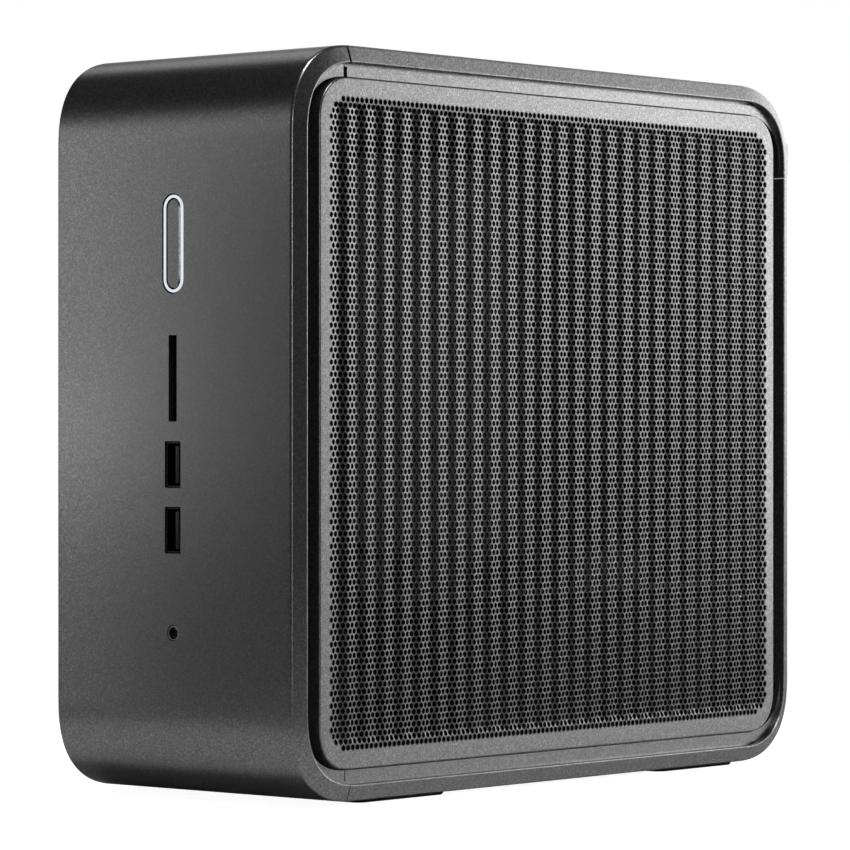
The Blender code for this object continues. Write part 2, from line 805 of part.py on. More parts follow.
def make_power_supply():
    case = block("psu_case", (-PSU_X, PSU_X), PSU_Y, PSU_Z, "chassis_steel")
    fan_x, fan_z = PSU_FAN
    rear = PSU_Y[1]
    cut(case, cylinder("cut_psu_fan", (fan_x, rear, fan_z), "Y", PSU_FAN_DUCT, 24.0, steps=32))
    bore = (fan_x, rear - 13.0, fan_z)
    cut(case, cylinder("cut_psu_bore", bore, "Y", SHAFT_BORE, 5.0, steps=16))
    x, z = PSU_INLET_X, PSU_INLET_Z
    cut(
        case,
        block(
            "cut_psu_inlet",
            (x[0] - GAP, x[1] + GAP),
            (rear - PSU_INLET_DEPTH - GAP, rear + BEYOND),
            (z[0] - GAP, z[1] + GAP),
        ),
    )
    make_socket(
        "psu_inlet",
        x,
        (rear - PSU_INLET_DEPTH, rear + 1.0),
        z,
        ((x[0] + 1.6, x[1] - 1.6), (z[0] + 1.6, z[1] - 1.6)),
        -16.0,
        "black_plastic",
    )
    make_rotor(
        "psu_fan_rotor",
        (fan_x, rear - 6.5, fan_z),
        "Y",
        hub=(8.0, 8.0),
        radii=(7.0, PSU_FAN_DUCT - 1.0),
        chord=7.0,
        thickness=0.9,
        pitch=35.0,
        shaft_to=-8.2,
    )
    for label, (sx, sz) in PSU_SCREWS.items():
        hole = (sx, rear, sz)
        cut(case, cylinder("cut_psu_screw_" + label, hole, "Y", 1.7, 12.0, steps=12))
        head = (sx, rear + 1.1, sz)
        screw = cylinder("psu_screw_" + label, head, "Y", 2.7, 1.6, "bare_steel", steps=16)
        shank = (sx, rear - 1.6, sz)
        join(screw, cylinder("add_shank_" + label, shank, "Y", 1.5, 4.8, steps=12))
        cut(
            screw,
            blocks(
                "cut_cross_" + label,
                [((sx - 1.6, sx + 1.6), (rear + 1.2, rear + BEYOND), (sz - 0.3, sz + 0.3))],
            ),
        )


def smooth_route(points, steps):
    """Points along a Catmull-Rom curve through the route."""
    padded = [2 * points[0] - points[1], *points, 2 * points[-1] - points[-2]]
    line = []
    for a, b, c, d in zip(padded, padded[1:], padded[2:], padded[3:], strict=False):
        for i in range(steps):
            t = i / steps
            square = 2 * a - 5 * b + 4 * c - d
            cube = 3 * (b - c) + d - a
            line.append((2 * b + (c - a) * t + square * t**2 + cube * t**3) / 2)
    return [*line, points[-1]]


def make_harness():
    """The sleeved power lead from the supply's front end up to the baseboard."""
    start = PSU_Y[0] - GAP
    end = BOARD_Y[0] - 5.2 - GAP
    route = [
        Vector(point)
        for point in (
            (20, start, 30),
            (20, start - 10, 30),
            (21, start - 24, 31),
            (23, start - 38, 36),
            (25, end - 10, 46),
            (26, end - 11.5, 55),
            (26, end - 8.5, 62.5),
            (26, end - 4, 64.2),
            (26, end, 64.2),
        )
    ]
    curve = bpy.data.curves.new("psu_harness", "CURVE")
    curve.dimensions = "3D"
    curve.bevel_depth = HARNESS_RADIUS * MM
    curve.bevel_resolution = 2
    curve.use_fill_caps = True
    line = smooth_route(route, 3)
    spline = curve.splines.new("POLY")
    spline.points.add(len(line) - 1)
    for point, at in zip(spline.points, line, strict=True):
        point.co = (*(at * MM), 1.0)
    harness = bpy.data.objects.new("psu_harness", curve)
    PARTS.objects.link(harness)
    curve.materials.append(MATERIALS["cable_sleeve"])
    block(
        "atx_connector",
        (18.0, 34.0),
        (BOARD_Y[0] - 5.2, BOARD_Y[0] + 6.0),
        (BOARD_Z[1] + GAP, BOARD_Z[1] + 10.5),
        "black_plastic",
    )


# The boards


def make_baseboard():
    block("baseboard", (-41.0, 41.0), BOARD_Y, BOARD_Z, "circuit_board")
    for label, x in (
        ("compute", COMPUTE_SLOT_X),
        ("graphics", GRAPHICS_SLOT_X),
        ("expansion", EXPANSION_SLOT_X),
    ):
        y = (SLOT_END - SLOT_LENGTHS[label], SLOT_END)
        slot = block(
            label + "_slot",
            (x - 3.7, x + 3.7),
            y,
            (BOARD_Z[1] + GAP, SLOT_TOP),
            "black_plastic",
            round_along="Z",
            radius=0.6,
            steps=2,
        )
        groove = (BOARD_Z[1] + 3.0, SLOT_TOP + BEYOND)
        cut(slot, block("cut_" + label, (x - 1.1, x + 1.1), (y[0] + 1.5, y[1] - 1.5), groove))


def make_compute_cartridge():
    board = block(
        "compute_board",
        COMPUTE_BOARD_X,
        (COVER_Y[0], PORT_Y[1] - 4.0),
        (COVER_Z[0], COVER_Z[1]),
        "circuit_board",
    )
    edge = (SLOT_END - SLOT_LENGTHS["compute"] + 3.0, SLOT_END - 3.0)
    edge_z = (BOARD_Z[1] + 3.6, COVER_Z[0] + 1.0)
    join(board, block("add_card_edge", COMPUTE_BOARD_X, edge, edge_z))
    block(
        "processor",
        (COMPUTE_BOARD_X[0] - 1.8, COMPUTE_BOARD_X[0] - GAP),
        (PROCESSOR_Y - PROCESSOR_HALF, PROCESSOR_Y + PROCESSOR_HALF),
        (BLOWER_Z - PROCESSOR_HALF, BLOWER_Z + PROCESSOR_HALF),
        "bare_steel",
    )
    make_heatsink()
    make_blower()
    make_cover()
    module_x = (-13.4, -9.4)
    y = (COVER_Y[0] + 6.0, COVER_Y[0] + 75.6)
    block("memory_upper", module_x, y, (118.0, 148.0), "circuit_board")
    block("memory_lower", module_x, y, (84.0, 114.0), "circuit_board")
    block("ssd", (-12.6, -9.4), (y[0], y[0] + 80.0), (152.0, 174.0), "circuit_board")


def make_heatsink():
    sink = block("compute_heatsink", HEATSINK_X, HEATSINK_Y, HEATSINK_Z, "heatsink")
    x = (HEATSINK_X[0] - BEYOND, HEATSINK_X[1] - HEATSINK_BASE)
    y = (HEATSINK_Y[0] - BEYOND, HEATSINK_Y[1] + BEYOND)
    count = round((HEATSINK_Z[1] - HEATSINK_Z[0] - FIN) / FIN_PITCH)
    channels = []
    for i in range(count):
        low = HEATSINK_Z[0] + FIN + i * FIN_PITCH
        channels.append((x, y, (low, min(low + FIN_PITCH - FIN, HEATSINK_Z[1] - FIN))))
    return cut(sink, blocks("cut_channels", channels))


def make_blower():
    """The radial blower: a plate that carries the motor, and a rotor with upright vanes."""
    half = BLOWER_PLATE_HALF
    plate = block(
        "blower_base",
        BLOWER_PLATE_X,
        (BLOWER_Y - half, BLOWER_Y + half),
        (BLOWER_Z - half, BLOWER_Z + half),
        "black_plastic",
        round_along="X",
        radius=8.0,
        steps=4,
    )
    centre = (BLOWER_X, BLOWER_Y, BLOWER_Z)
    at = (BLOWER_PLATE_X[0], BLOWER_Y, BLOWER_Z)
    cut(plate, cylinder("cut_blower_bore", at, "X", SHAFT_BORE, 2.4, steps=16))
    rotor = cylinder("compute_blower_rotor", centre, "X", 15.0, 14.0, "fan_plastic", steps=24)
    disc_at = (centre[0] + 6.0, BLOWER_Y, BLOWER_Z)
    join(rotor, cylinder("add_blower_disc", disc_at, "X", BLOWER_DISC, 2.0, steps=32))
    bm = blades_mesh(15, (BLOWER_DISC - 7.0, BLOWER_DISC + 0.2), 0.9, 13.0, 0.0)
    bmesh.ops.transform(bm, matrix=turn_to("X"), verts=bm.verts)
    join(rotor, place("add_blower_vanes", bm, centre))
    shaft_at = (centre[0] + 8.0, BLOWER_Y, BLOWER_Z)
    join(rotor, cylinder("add_blower_shaft", shaft_at, "X", SHAFT_RADIUS, 3.2, steps=16))


def make_cover():
    cover = block("compute_cover", COVER_X, COVER_Y, COVER_Z, "black_plastic")
    inner = block(
        "cut_cover_inside",
        (COVER_X[0] + COVER_SKIN, COVER_X[1] + BEYOND),
        (COVER_Y[0] + COVER_SKIN, COVER_Y[1] - COVER_SKIN),
        (COVER_Z[0] + COVER_SKIN, COVER_Z[1] - COVER_SKIN),
    )
    eye = (COVER_X[0], BLOWER_Y, BLOWER_Z)
    inlet = cylinder("cut_cover_inlet", eye, "X", 26.0, 12.0, steps=40)
    exhaust = block(
        "cut_cover_exhaust",
        (COVER_X[0] + 4.0, -26.5),
        (COVER_Y[1] - BEYOND, COVER_Y[1] + BEYOND),
        (HEATSINK_Z[0], HEATSINK_Z[1]),
    )
    ports = block(
        "cut_cover_ports",
        (-25.0, COVER_X[1] + BEYOND),
        (COVER_Y[1] - 10.0, COVER_Y[1] + BEYOND),
        (COVER_Z[0] - BEYOND, COVER_Z[1] - 3.0),
    )
    return cut(cover, inner, inlet, exhaust, ports)


# Rear sockets of the compute cartridge


def rear_sockets():
    """Each socket's x pair, z pair and mouths, which are x and z pairs too."""
    found = {}
    for label, low in USB_STACK_Z.items():
        high = low + USB_STACK_HEIGHT
        mouth_z = (low + USB_MOUTH_INSET, high - USB_MOUTH_INSET)
        mouths = [(x, mouth_z) for x in USB_MOUTHS_X]
        found["rear_usb_stack_" + label] = (USB_STACK_X, (low, high), mouths)
    for name, (x, z, (beside, above)) in SINGLE_SOCKETS.items():
        mouth = ((x[0] + beside, x[1] - beside), (z[0] + above, z[1] - above))
        found[name] = (x, z, [mouth])
    return found


def make_rear_sockets():
    through = (BRACKET_Y[0] - 1.0, BRACKET_Y[1] + 1.0)
    mouth_y = (PORT_Y[1] - SOCKET_DEPTH, PORT_Y[1] + BEYOND)
    holes = []
    for name, (x, z, mouths) in rear_sockets().items():
        shell = block(name, x, PORT_Y, z, "bare_steel")
        cut(shell, blocks("cut_" + name, [(a, mouth_y, b) for a, b in mouths]))
        if "usb_stack" in name:
            for i, (a, b) in enumerate(mouths):
                tongue_y = (PORT_Y[1] - SOCKET_DEPTH - 0.5, PORT_Y[1] - 1.0)
                tongue = ((a[0] + 0.7, a[0] + 2.4), tongue_y, (b[0] + 0.7, b[1] - 0.7))
                join(shell, block(f"add_tongue_{name}_{i}", *tongue))
        holes.append(((x[0] - GAP, x[1] + GAP), through, (z[0] - GAP, z[1] + GAP)))
    make_rear_audio()
    make_compute_bracket(holes)


def make_rear_audio():
    x, z = REAR_AUDIO
    middle = sum(PORT_Y) / 2
    length = PORT_Y[1] - PORT_Y[0]
    at = (x, middle, z)
    jack = cylinder("rear_audio_jack", at, "Y", AUDIO_RADIUS, length, "black_plastic", 24)
    mouth = (x, PORT_Y[1], z)
    cut(jack, cylinder("cut_rear_audio", mouth, "Y", AUDIO_BORE, 22.0, steps=16))


def make_compute_bracket(holes):
    """The plate that the sockets look through, with blind slits beside them."""
    bracket = block(
        "compute_bracket",
        (-41.4, -3.6),
        BRACKET_Y,
        (WINDOW_Z[0] - 2.0, WINDOW_Z[1] + 5.0),
        "chassis_steel",
    )
    slits = [((-38.0, -27.0), slit_y(), (z - 1.2, z + 1.2)) for z in range(72, 180, 6)]
    cut(bracket, blocks("cut_bracket_holes", [*holes, *slits]))
    x, z = REAR_AUDIO
    at = (x, BRACKET_Y[0], z)
    return cut(bracket, cylinder("cut_audio_clear", at, "Y", AUDIO_RADIUS + GAP, 12.0, steps=24))


def axis_empty(name, at, members):
    """An empty on a joint's axis, with what moves with it parented to it where it stands."""
    empty = bpy.data.objects.new(name, None)
    empty.empty_display_size = 0.01
    empty.location = Vector(at) * MM
    PARTS.objects.link(empty)
    bpy.context.view_layer.update()
    for member in members:
        member.parent = empty
        member.matrix_parent_inverse = empty.matrix_world.inverted()
    return empty


def hang_on_axes():
    """Parents each moving group to an empty on its axis."""
    objects = bpy.data.objects
    on_lid = [objects[name] for name in ("top_lid", "top_grille")]
    for label, y in zip(("front", "rear"), LID_FAN_Y, strict=True):
        fan = "lid_fan_" + label
        on_lid.append(objects[fan + "_frame"])
        on_lid.append(axis_empty(fan + "_axis", (0, y, LID_FAN_TOP), [objects[fan + "_rotor"]]))
    on_lid += [objects["thumbscrew_" + label] for label in ("left", "right")]
    axis_empty("lid_axis", (0, 0, LID_SPLIT), on_lid)
    psu_axis = (PSU_FAN[0], PSU_Y[1], PSU_FAN[1])
    axis_empty("psu_fan_axis", psu_axis, [objects["psu_fan_rotor"]])
    axis_empty("blower_axis", (COVER_X[0], BLOWER_Y, BLOWER_Z), [objects["compute_blower_rotor"]])
    axis_empty("button_axis", (FRONT_X, FRONT, BUTTON_Z), [objects["power_button"]])


def main():
    hollows = case_cutters()
    make_front_bezel(hollows)
    make_top_lid(hollows)
    make_base_shell(hollows)
    make_feet()
    for label, side in (("left", -1), ("right", 1)):
        make_side_panel(label, side)
        make_inner_frame(label, side)
        make_thumbscrew(label, side)
    make_top_grille()
    make_lid_fans()
    make_power_button()
    make_front_board()
    make_front_sockets()
    make_chassis()
    make_rear_panel()
    make_slot_covers()
    make_power_supply()
    make_harness()
    make_baseboard()
    make_compute_cartridge()
    make_rear_sockets()
    hang_on_axes()


main()
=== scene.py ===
"""The looks of a five-litre mini PC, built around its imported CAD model.

The object's sizes are in millimetres, and MM turns them into metres. The studio's are in metres.
The frame is the CAD's: X across the width, the front face towards -Y, Z up, the ground at Z = 0.
"""

import json
import math

import bmesh
import bpy
import numpy as np
from mathutils import Matrix, Vector
from mathutils.geometry import delaunay_2d_cdt


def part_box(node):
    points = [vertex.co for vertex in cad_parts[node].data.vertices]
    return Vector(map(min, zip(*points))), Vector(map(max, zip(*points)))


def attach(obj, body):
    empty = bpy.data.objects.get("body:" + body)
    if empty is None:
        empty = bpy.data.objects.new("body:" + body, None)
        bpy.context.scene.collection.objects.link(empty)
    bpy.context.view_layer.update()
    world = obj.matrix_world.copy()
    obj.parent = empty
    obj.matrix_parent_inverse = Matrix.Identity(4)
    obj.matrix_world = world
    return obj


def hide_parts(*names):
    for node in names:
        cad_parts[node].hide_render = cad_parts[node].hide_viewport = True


MM = 0.001
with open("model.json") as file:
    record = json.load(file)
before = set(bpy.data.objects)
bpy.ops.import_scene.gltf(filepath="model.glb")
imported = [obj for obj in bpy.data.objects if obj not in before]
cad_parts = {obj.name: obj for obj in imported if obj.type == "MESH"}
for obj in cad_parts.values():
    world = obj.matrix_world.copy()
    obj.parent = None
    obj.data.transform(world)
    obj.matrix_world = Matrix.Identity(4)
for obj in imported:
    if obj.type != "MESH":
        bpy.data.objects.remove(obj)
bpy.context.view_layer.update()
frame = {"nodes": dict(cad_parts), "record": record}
NODES = frame["nodes"]


def span(node, axis):
    low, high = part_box(node)
    return low[axis] / MM, high[axis] / MM


def spans(node):
    return [span(node, axis) for axis in range(3)]


def middle(node, axis):
    return sum(span(node, axis)) / 2


FRONT = span("front_bezel", 1)[0]
REAR = span("base_shell", 1)[1]
HEIGHT = span("top_lid", 2)[1]
BOTTOM = span("base_shell", 2)[0]
PANEL_Y = span("right_side_panel", 1)
PANEL_Z = span("right_side_panel", 2)
PANEL_BACK, PANEL_FACE = span("right_side_panel", 0)
BEZEL_END = span("front_bezel", 1)[1]
LID_START = span("top_lid", 1)[0]
LID_LOW = span("top_lid", 2)[0]
BASE_TOP = span("base_shell", 2)[1]

# The case
SIDE = 46.4  # where the side rims start to rise
RIM_SLOPE = 1.6 / 5.0
CORNER, OPENING_CORNER, WALL = 27.0, 22.0, 2.0
EXPONENT = 2.5  # of the superellipse that the case's corners follow
ARC_STEPS = 24
OPENING_Y = (FRONT + 5.3, REAR - 3.4)
OPENING_Z = (BOTTOM + 4.9, HEIGHT - 5.1)
LEDGE_X, SLOT_FLOOR_X, WEB_X = 45.7, 44.7, 43.2
LEDGE_SLOT = 1.0
LEDGE_Z = (OPENING_Z[0] + 4.05, OPENING_Z[1] - 3.9)  # the ledges' inner edges
LEDGE_CORNER = 19.5
FILLET, KNEE = 0.9, 0.7  # the rims' outer and inner rounded edges
RIM_STEPS = 5
SEAM_NOTCH_Z = (206.0, 210.4)
REAR_WINDOW_X, REAR_WINDOW_Z = 41.0, (14.0, 184.0)
FOOT_GAP, FOOT_POCKET = 0.3, 0.9
FOOT_CORNER = 3.0
LIP_X, LIP_Y, LIP_Z = 45.0, (REAR - 1.0, REAR + 2.4), (187.9, 199.5)
GRILLE_X, GRILLE_Y, GRILLE_CORNER = 36.0, (FRONT + 36.0, REAR - 26.0), 10.0

# The front controls. Sizes are (width, height)
FRONT_X = 0.4
BUTTON_Z, SD_Z, USB_Z, AUDIO_Z = 160.1, 121.5, (78.0, 96.8), 48.5
RING_HOLE, RING_OUTER, RING_INNER, BUTTON = (8.5, 28.8), (8.1, 28.4), (5.5, 25.9), (5.1, 25.5)
RING_LIT = (7.7, 28.0), (6.0, 26.4)  # the lit band of the ring, outer and inner
RING_END = FRONT + 8.6
SD_HOLE, USB_HOLE, AUDIO_HOLE = (3.2, 24.8), (6.3, 13.4), 4.6
MOUTH_CORNER = 0.35
USB_SHELL, USB_MOUTH, USB_SKIN = 12.8, 12.2, 0.3  # heights, and the shell's thickness
USB_CONTACTS = (-3.5, -1.0, 1.0, 3.5)

# The perforated sheets
PITCH = 2.0  # between the middles of neighbouring holes
HOLE = 0.79  # the holes' radius
ROW = PITCH * math.sqrt(3) / 2
CORNER_CELL = PITCH / math.sqrt(3)  # from a hexagonal cell's middle to its corner
RIB_WAVE = 8.0
RIB_DEPTH = 0.48
RIB_START, RIB_FADE = 2.2, 0.9  # how far inside the field the ribs begin, and over what distance they rise
SHEET = 0.6
PANEL_HOLES = (107, 105)  # rows and columns
PANEL_FIELD_Z = 16.8  # the lowest row of holes
PANEL_STRIPS = 4
PANEL_CORNER, PANEL_FOLD = 12.5, 0.5
FOLD_STEPS = 5
TOP_SCALE, TOP_HOLES = 1.4, (27, 60)  # the top grille's holes are wider apart than the panels'
TOP_CORNER = 9.7

# Screws, fans, guard and seals
SCREW_X, SCREW_Z = 33.0, 193.4
SCREW_HEAD, KNURL, KNURLS = 3.88, 0.12, 32
SHANK = 1.6
DRIVER_SLOT = (6.4, 1.2)
BLADES, BLADE_THICK = 7, 1.1
GUARD_RADII, GUARD_BAR = (4.3, 8.6, 12.9, 17.2), 18.4  # the rings, and half a bar's length
SEAL_X = (43.75, 43.95)  # the corner seals' faces, on either side


# Node materials


class Nodes:
    """A material's node tree, with short ways to add nodes and links."""

    def __init__(self, name, colour, roughness, metallic=0.0, **sockets):
        self.material = bpy.data.materials.new(name)
        self.material.use_nodes = True
        self.tree = self.material.node_tree
        self.shader = self.tree.nodes["Principled BSDF"]
        self.set("Base Color", (*colour, 1.0))
        self.set("Roughness", roughness)
        self.set("Metallic", metallic)
        for socket, value in sockets.items():
            self.set(socket.replace("_", " "), value)
        self.place = self.add("ShaderNodeTexCoord").outputs["Object"]

    def set(self, socket, value):
        self.shader.inputs[socket].default_value = value

    def add(self, kind, **settings):
        node = self.tree.nodes.new(kind)
        for key, value in settings.items():
            if key in node.inputs:
                node.inputs[key].default_value = value
            else:
                setattr(node, key, value)
        return node

    def link(self, source, target):
        self.tree.links.new(source, target)

    def stretched(self, scale):
        """The object's coordinates, scaled along each axis."""
        mapping = self.add("ShaderNodeMapping")
        mapping.inputs["Scale"].default_value = scale
        self.link(self.place, mapping.inputs["Vector"])
        return mapping.outputs["Vector"]

    def noise(self, scale, detail=2.0, vector=None):
        node = self.add("ShaderNodeTexNoise", Scale=scale, Detail=detail)
        self.link(vector or self.place, node.inputs["Vector"])
        return node.outputs["Fac"]

    def cells(self, scale):
        node = self.add("ShaderNodeTexVoronoi", Scale=scale)
        self.link(self.place, node.inputs["Vector"])
        return node.outputs["Color"]

    def ramp(self, value, stops):
        """stops are (position, grey) pairs or (position, colour) pairs."""
        node = self.add("ShaderNodeValToRGB")
        self.link(value, node.inputs["Fac"])
        elements = node.color_ramp.elements
        while len(elements) < len(stops):
            elements.new(0.5)
        for element, (position, colour) in zip(elements, stops, strict=True):
            element.position = position
            shade = (colour,) * 3 if isinstance(colour, float) else colour
            element.color = (*shade, 1.0)
        return node.outputs["Color"]

    def colour(self, value, stops):
        self.link(self.ramp(value, stops), self.shader.inputs["Base Color"])

    def roughness(self, value, stops):
        self.link(self.ramp(value, stops), self.shader.inputs["Roughness"])

    def bump(self, height, strength, distance_mm):
        node = self.add("ShaderNodeBump", Strength=strength, Distance=distance_mm * MM)
        self.link(height, node.inputs["Height"])
        self.link(node.outputs["Normal"], self.shader.inputs["Normal"])

    def flakes(self, cells, tilt):
        """Metal flakes: each cell of the paint leans its own way."""
        centred = self.add("ShaderNodeVectorMath", operation="SUBTRACT")
        self.link(cells, centred.inputs[0])
        centred.inputs[1].default_value = (0.5, 0.5, 0.5)
        scaled = self.add("ShaderNodeVectorMath", operation="SCALE", Scale=tilt)
        self.link(centred.outputs[0], scaled.inputs[0])
        leaning = self.add("ShaderNodeVectorMath", operation="ADD")
        self.link(self.add("ShaderNodeNewGeometry").outputs["Normal"], leaning.inputs[0])
        self.link(scaled.outputs[0], leaning.inputs[1])
        unit = self.add("ShaderNodeVectorMath", operation="NORMALIZE")
        self.link(leaning.outputs[0], unit.inputs[0])
        self.link(unit.outputs[0], self.shader.inputs["Normal"])


def grey(value, warmth=0.0):
    return (value * (1 + warmth), value, value * (1 - warmth))


def metallic_paint(name, shade, roughness, tilt, metallic):
    """Satin paint with fine flakes: each has its own shade and its own lean."""
    made = Nodes(name, grey(shade), roughness, metallic)
    cells = made.cells(2900.0)
    split = made.add("ShaderNodeSeparateColor")
    made.link(cells, split.inputs[0])
    made.colour(
        split.outputs[0],
        [(0.0, grey(shade * 0.68)), (0.8, grey(shade * 1.1)), (1.0, grey(shade * 1.5))],
    )
    made.roughness(made.noise(9.0, 3.0), [(0.3, roughness - 0.02), (0.7, roughness + 0.03)])
    made.flakes(cells, tilt)
    return made.material


def plastic(name, shade, roughness, grain, depth_mm, **sockets):
    """Moulded plastic with a fine grain."""
    made = Nodes(name, grey(shade), roughness, **sockets)
    height = made.noise(grain, 3.0)
    made.colour(made.noise(60.0), [(0.3, grey(shade * 0.85)), (0.7, grey(shade * 1.15))])
    made.roughness(height, [(0.3, roughness - 0.06), (0.7, roughness + 0.06)])
    made.bump(height, 0.4, depth_mm)
    return made.material


def steel(name, shade, roughness, stretch, **sockets):
    """Rolled or brushed steel, with its lines along one axis."""
    made = Nodes(name, grey(shade), roughness, 1.0, **sockets)
    lines = made.noise(1.0, 4.0, made.stretched(stretch))
    made.colour(lines, [(0.25, grey(shade * 0.85)), (0.75, grey(shade * 1.1))])
    made.roughness(lines, [(0.25, roughness - 0.08), (0.75, roughness + 0.1)])
    made.bump(lines, 0.15, 0.02)
    return made.material


def powder_coat(name, shade, roughness):
    made = Nodes(name, grey(shade), roughness, Specular_IOR_Level=0.12)
    height = made.noise(1500.0, 3.0)
    made.colour(made.noise(40.0), [(0.3, grey(shade * 0.85)), (0.7, grey(shade * 1.2))])
    made.roughness(height, [(0.3, roughness - 0.05), (0.7, roughness + 0.1)])
    made.bump(height, 0.3, 0.04)
    return made.material


def solder_mask(name):
    """A dark board with tracks under its mask."""
    shade = (0.008, 0.02, 0.016)
    made = Nodes(name, shade, 0.35)
    tracks = made.add("ShaderNodeTexBrick", Scale=130.0)
    tracks.offset = 0.3
    tracks.inputs["Mortar Size"].default_value = 0.06
    tracks.inputs["Color1"].default_value = (0.007, 0.022, 0.016, 1.0)
    tracks.inputs["Color2"].default_value = (0.012, 0.034, 0.024, 1.0)
    tracks.inputs["Mortar"].default_value = (0.02, 0.05, 0.034, 1.0)
    turned = made.add("ShaderNodeMapping")
    turned.inputs["Rotation"].default_value = (math.radians(90), 0.0, math.radians(90))
    made.link(made.place, turned.inputs["Vector"])
    made.link(turned.outputs["Vector"], tracks.inputs["Vector"])
    made.link(tracks.outputs["Color"], made.shader.inputs["Base Color"])
    made.roughness(made.noise(300.0), [(0.3, 0.28), (0.7, 0.42)])
    made.bump(tracks.outputs["Fac"], 0.2, 0.04)
    return made.material


def rubber(name):
    made = Nodes(name, grey(0.014), 0.8)
    height = made.noise(900.0, 4.0)
    made.colour(height, [(0.3, grey(0.010)), (0.7, grey(0.02))])
    made.roughness(height, [(0.3, 0.72), (0.7, 0.9)])
    made.bump(height, 0.5, 0.05)
    return made.material


def sleeve(name):
    """Braided sleeving: two sets of threads crossing."""
    made = Nodes(name, grey(0.02), 0.6)
    braid = made.add("ShaderNodeTexWave", Scale=420.0, Distortion=0.0)
    braid.bands_direction = "DIAGONAL"
    made.link(made.place, braid.inputs["Vector"])
    made.colour(braid.outputs["Fac"], [(0.2, grey(0.008)), (0.8, grey(0.035))])
    made.roughness(braid.outputs["Fac"], [(0.2, 0.8), (0.8, 0.5)])
    made.bump(braid.outputs["Fac"], 0.6, 0.2)
    return made.material


def light_guide(name):
    made = Nodes(name, (0.2, 0.22, 0.25), 0.3)
    glow = made.ramp(made.noise(120.0), [(0.3, (0.80, 0.86, 0.97)), (0.7, (0.86, 0.91, 1.0))])
    made.link(glow, made.shader.inputs["Emission Color"])
    made.set("Emission Strength", 0.85)
    made.colour(made.noise(200.0), [(0.3, (0.18, 0.2, 0.23)), (0.7, (0.22, 0.24, 0.27))])
    made.roughness(made.noise(400.0), [(0.3, 0.25), (0.7, 0.35)])
    return made.material


LOOKS = {
    "case_paint": metallic_paint("case_paint_look", 0.27, 0.29, 0.05, 0.94),
    "panel_paint": metallic_paint("panel_paint_look", 0.285, 0.32, 0.05, 0.94),
    "chassis_steel": powder_coat("chassis_look", 0.005, 0.6),
    "bare_steel": steel("bare_steel_look", 0.55, 0.3, (80.0, 80.0, 3000.0)),
    "foot_rubber": rubber("foot_rubber_look"),
    "light_guide": light_guide("light_guide_look"),
    "black_plastic": plastic("black_plastic_look", 0.014, 0.42, 1400.0, 0.03),
    "circuit_board": solder_mask("circuit_board_look"),
    "heatsink": steel("heatsink_look", 0.62, 0.32, (60.0, 2500.0, 60.0)),
    "fan_plastic": plastic("fan_plastic_look", 0.018, 0.36, 900.0, 0.03),
    "cable_sleeve": sleeve("cable_sleeve_look"),
}
# The panels' paint, made darker on the perforated sheets: painted shade.
SHADED_WEB_PAINT = metallic_paint("panel_web_shaded_look", 0.15, 0.28, 0.03, 0.94)
# Near-black painted shade: the holes' walls, the backs of the perforated sheets, the panels' side walls, the
# button's collars and the seals over the chassis's gaps.
PAINTED_SHADE = powder_coat("painted_shade_look", 0.002, 0.8)  # and the backs of the perforated sheets
# Dark steel for the front sockets' shells: painted shade inside the bezel's holes.
SHADED_SOCKET_STEEL = steel("shaded_socket_steel_look", 0.07, 0.3, (300.0, 300.0, 300.0))
CONTACT_METAL = steel("contact_look", 0.6, 0.25, (400.0, 400.0, 400.0))


# Meshes


def new_piece(name, mesh, body, slot, look=None, replaces=(), smooth=30.0):
    piece = bpy.data.objects.new(name, mesh)
    bpy.context.scene.collection.objects.link(piece)
    mesh.materials.clear()
    mesh.materials.append(look or LOOKS[slot])
    smooth_shaded(piece, smooth)
    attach(piece, body)
    if replaces:
        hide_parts(*replaces)
    return piece


def smooth_shaded(piece, degrees=30.0):
    piece.data.shade_smooth()
    piece.data.set_sharp_from_angle(angle=math.radians(degrees))
    return piece


def mesh_of(bm, name):
    mesh = bpy.data.meshes.new(name)
    bm.to_mesh(mesh)
    bm.free()
    return mesh


def array_mesh(name, points, faces):
    """A mesh from arrays: points in metres, and triangles."""
    mesh = bpy.data.meshes.new(name)
    mesh.vertices.add(len(points))
    mesh.vertices.foreach_set("co", np.asarray(points, np.float32).ravel())
    mesh.loops.add(3 * len(faces))
    mesh.loops.foreach_set("vertex_index", np.asarray(faces, np.int32).ravel())
    mesh.polygons.add(len(faces))
    mesh.polygons.foreach_set("loop_start", np.arange(0, 3 * len(faces), 3, dtype=np.int32))
    mesh.update(calc_edges=True)
    mesh.validate()
    return mesh


def weigh_normals(piece):
    """Keeps wide flat faces flat where they meet a fillet."""
    modifier = piece.modifiers.new("flat_faces", "WEIGHTED_NORMAL")
    modifier.keep_sharp = True
    modifier.weight = 60


def applied(piece):
    """Applies the piece's modifiers to its mesh."""
    bpy.context.view_layer.update()
    graph = bpy.context.evaluated_depsgraph_get()
    mesh = bpy.data.meshes.new_from_object(piece.evaluated_get(graph))
    piece.modifiers.clear()
    piece.data = mesh


def rounded_outline(low, high, radius, steps=ARC_STEPS, exponent=EXPONENT):
    """A rectangle from low to high with superelliptic corners, as an array of points, anticlockwise."""
    angles = np.linspace(0.0, math.pi / 2, steps + 1)
    reach = np.stack([np.cos(angles), np.sin(angles)], axis=1).clip(0) ** (2 / exponent)
    points = []
    for quarter in range(4):
        turn = quarter * math.pi / 2
        c, s = round(math.cos(turn)), round(math.sin(turn))
        rotation = np.array([[c, s], [-s, c]])
        sign = np.array([[1, 1], [-1, 1], [-1, -1], [1, -1]][quarter])
        corner = np.where(sign > 0, high, low) - sign * radius
        points.append(corner + radius * reach @ rotation)
    return np.concatenate(points)


def between(a, b, radius, steps=ARC_STEPS, exponent=EXPONENT):
    """The rounded outline that spans a along its first axis and b along its second."""
    return rounded_outline(np.array([a[0], b[0]]), np.array([a[1], b[1]]), radius, steps, exponent)


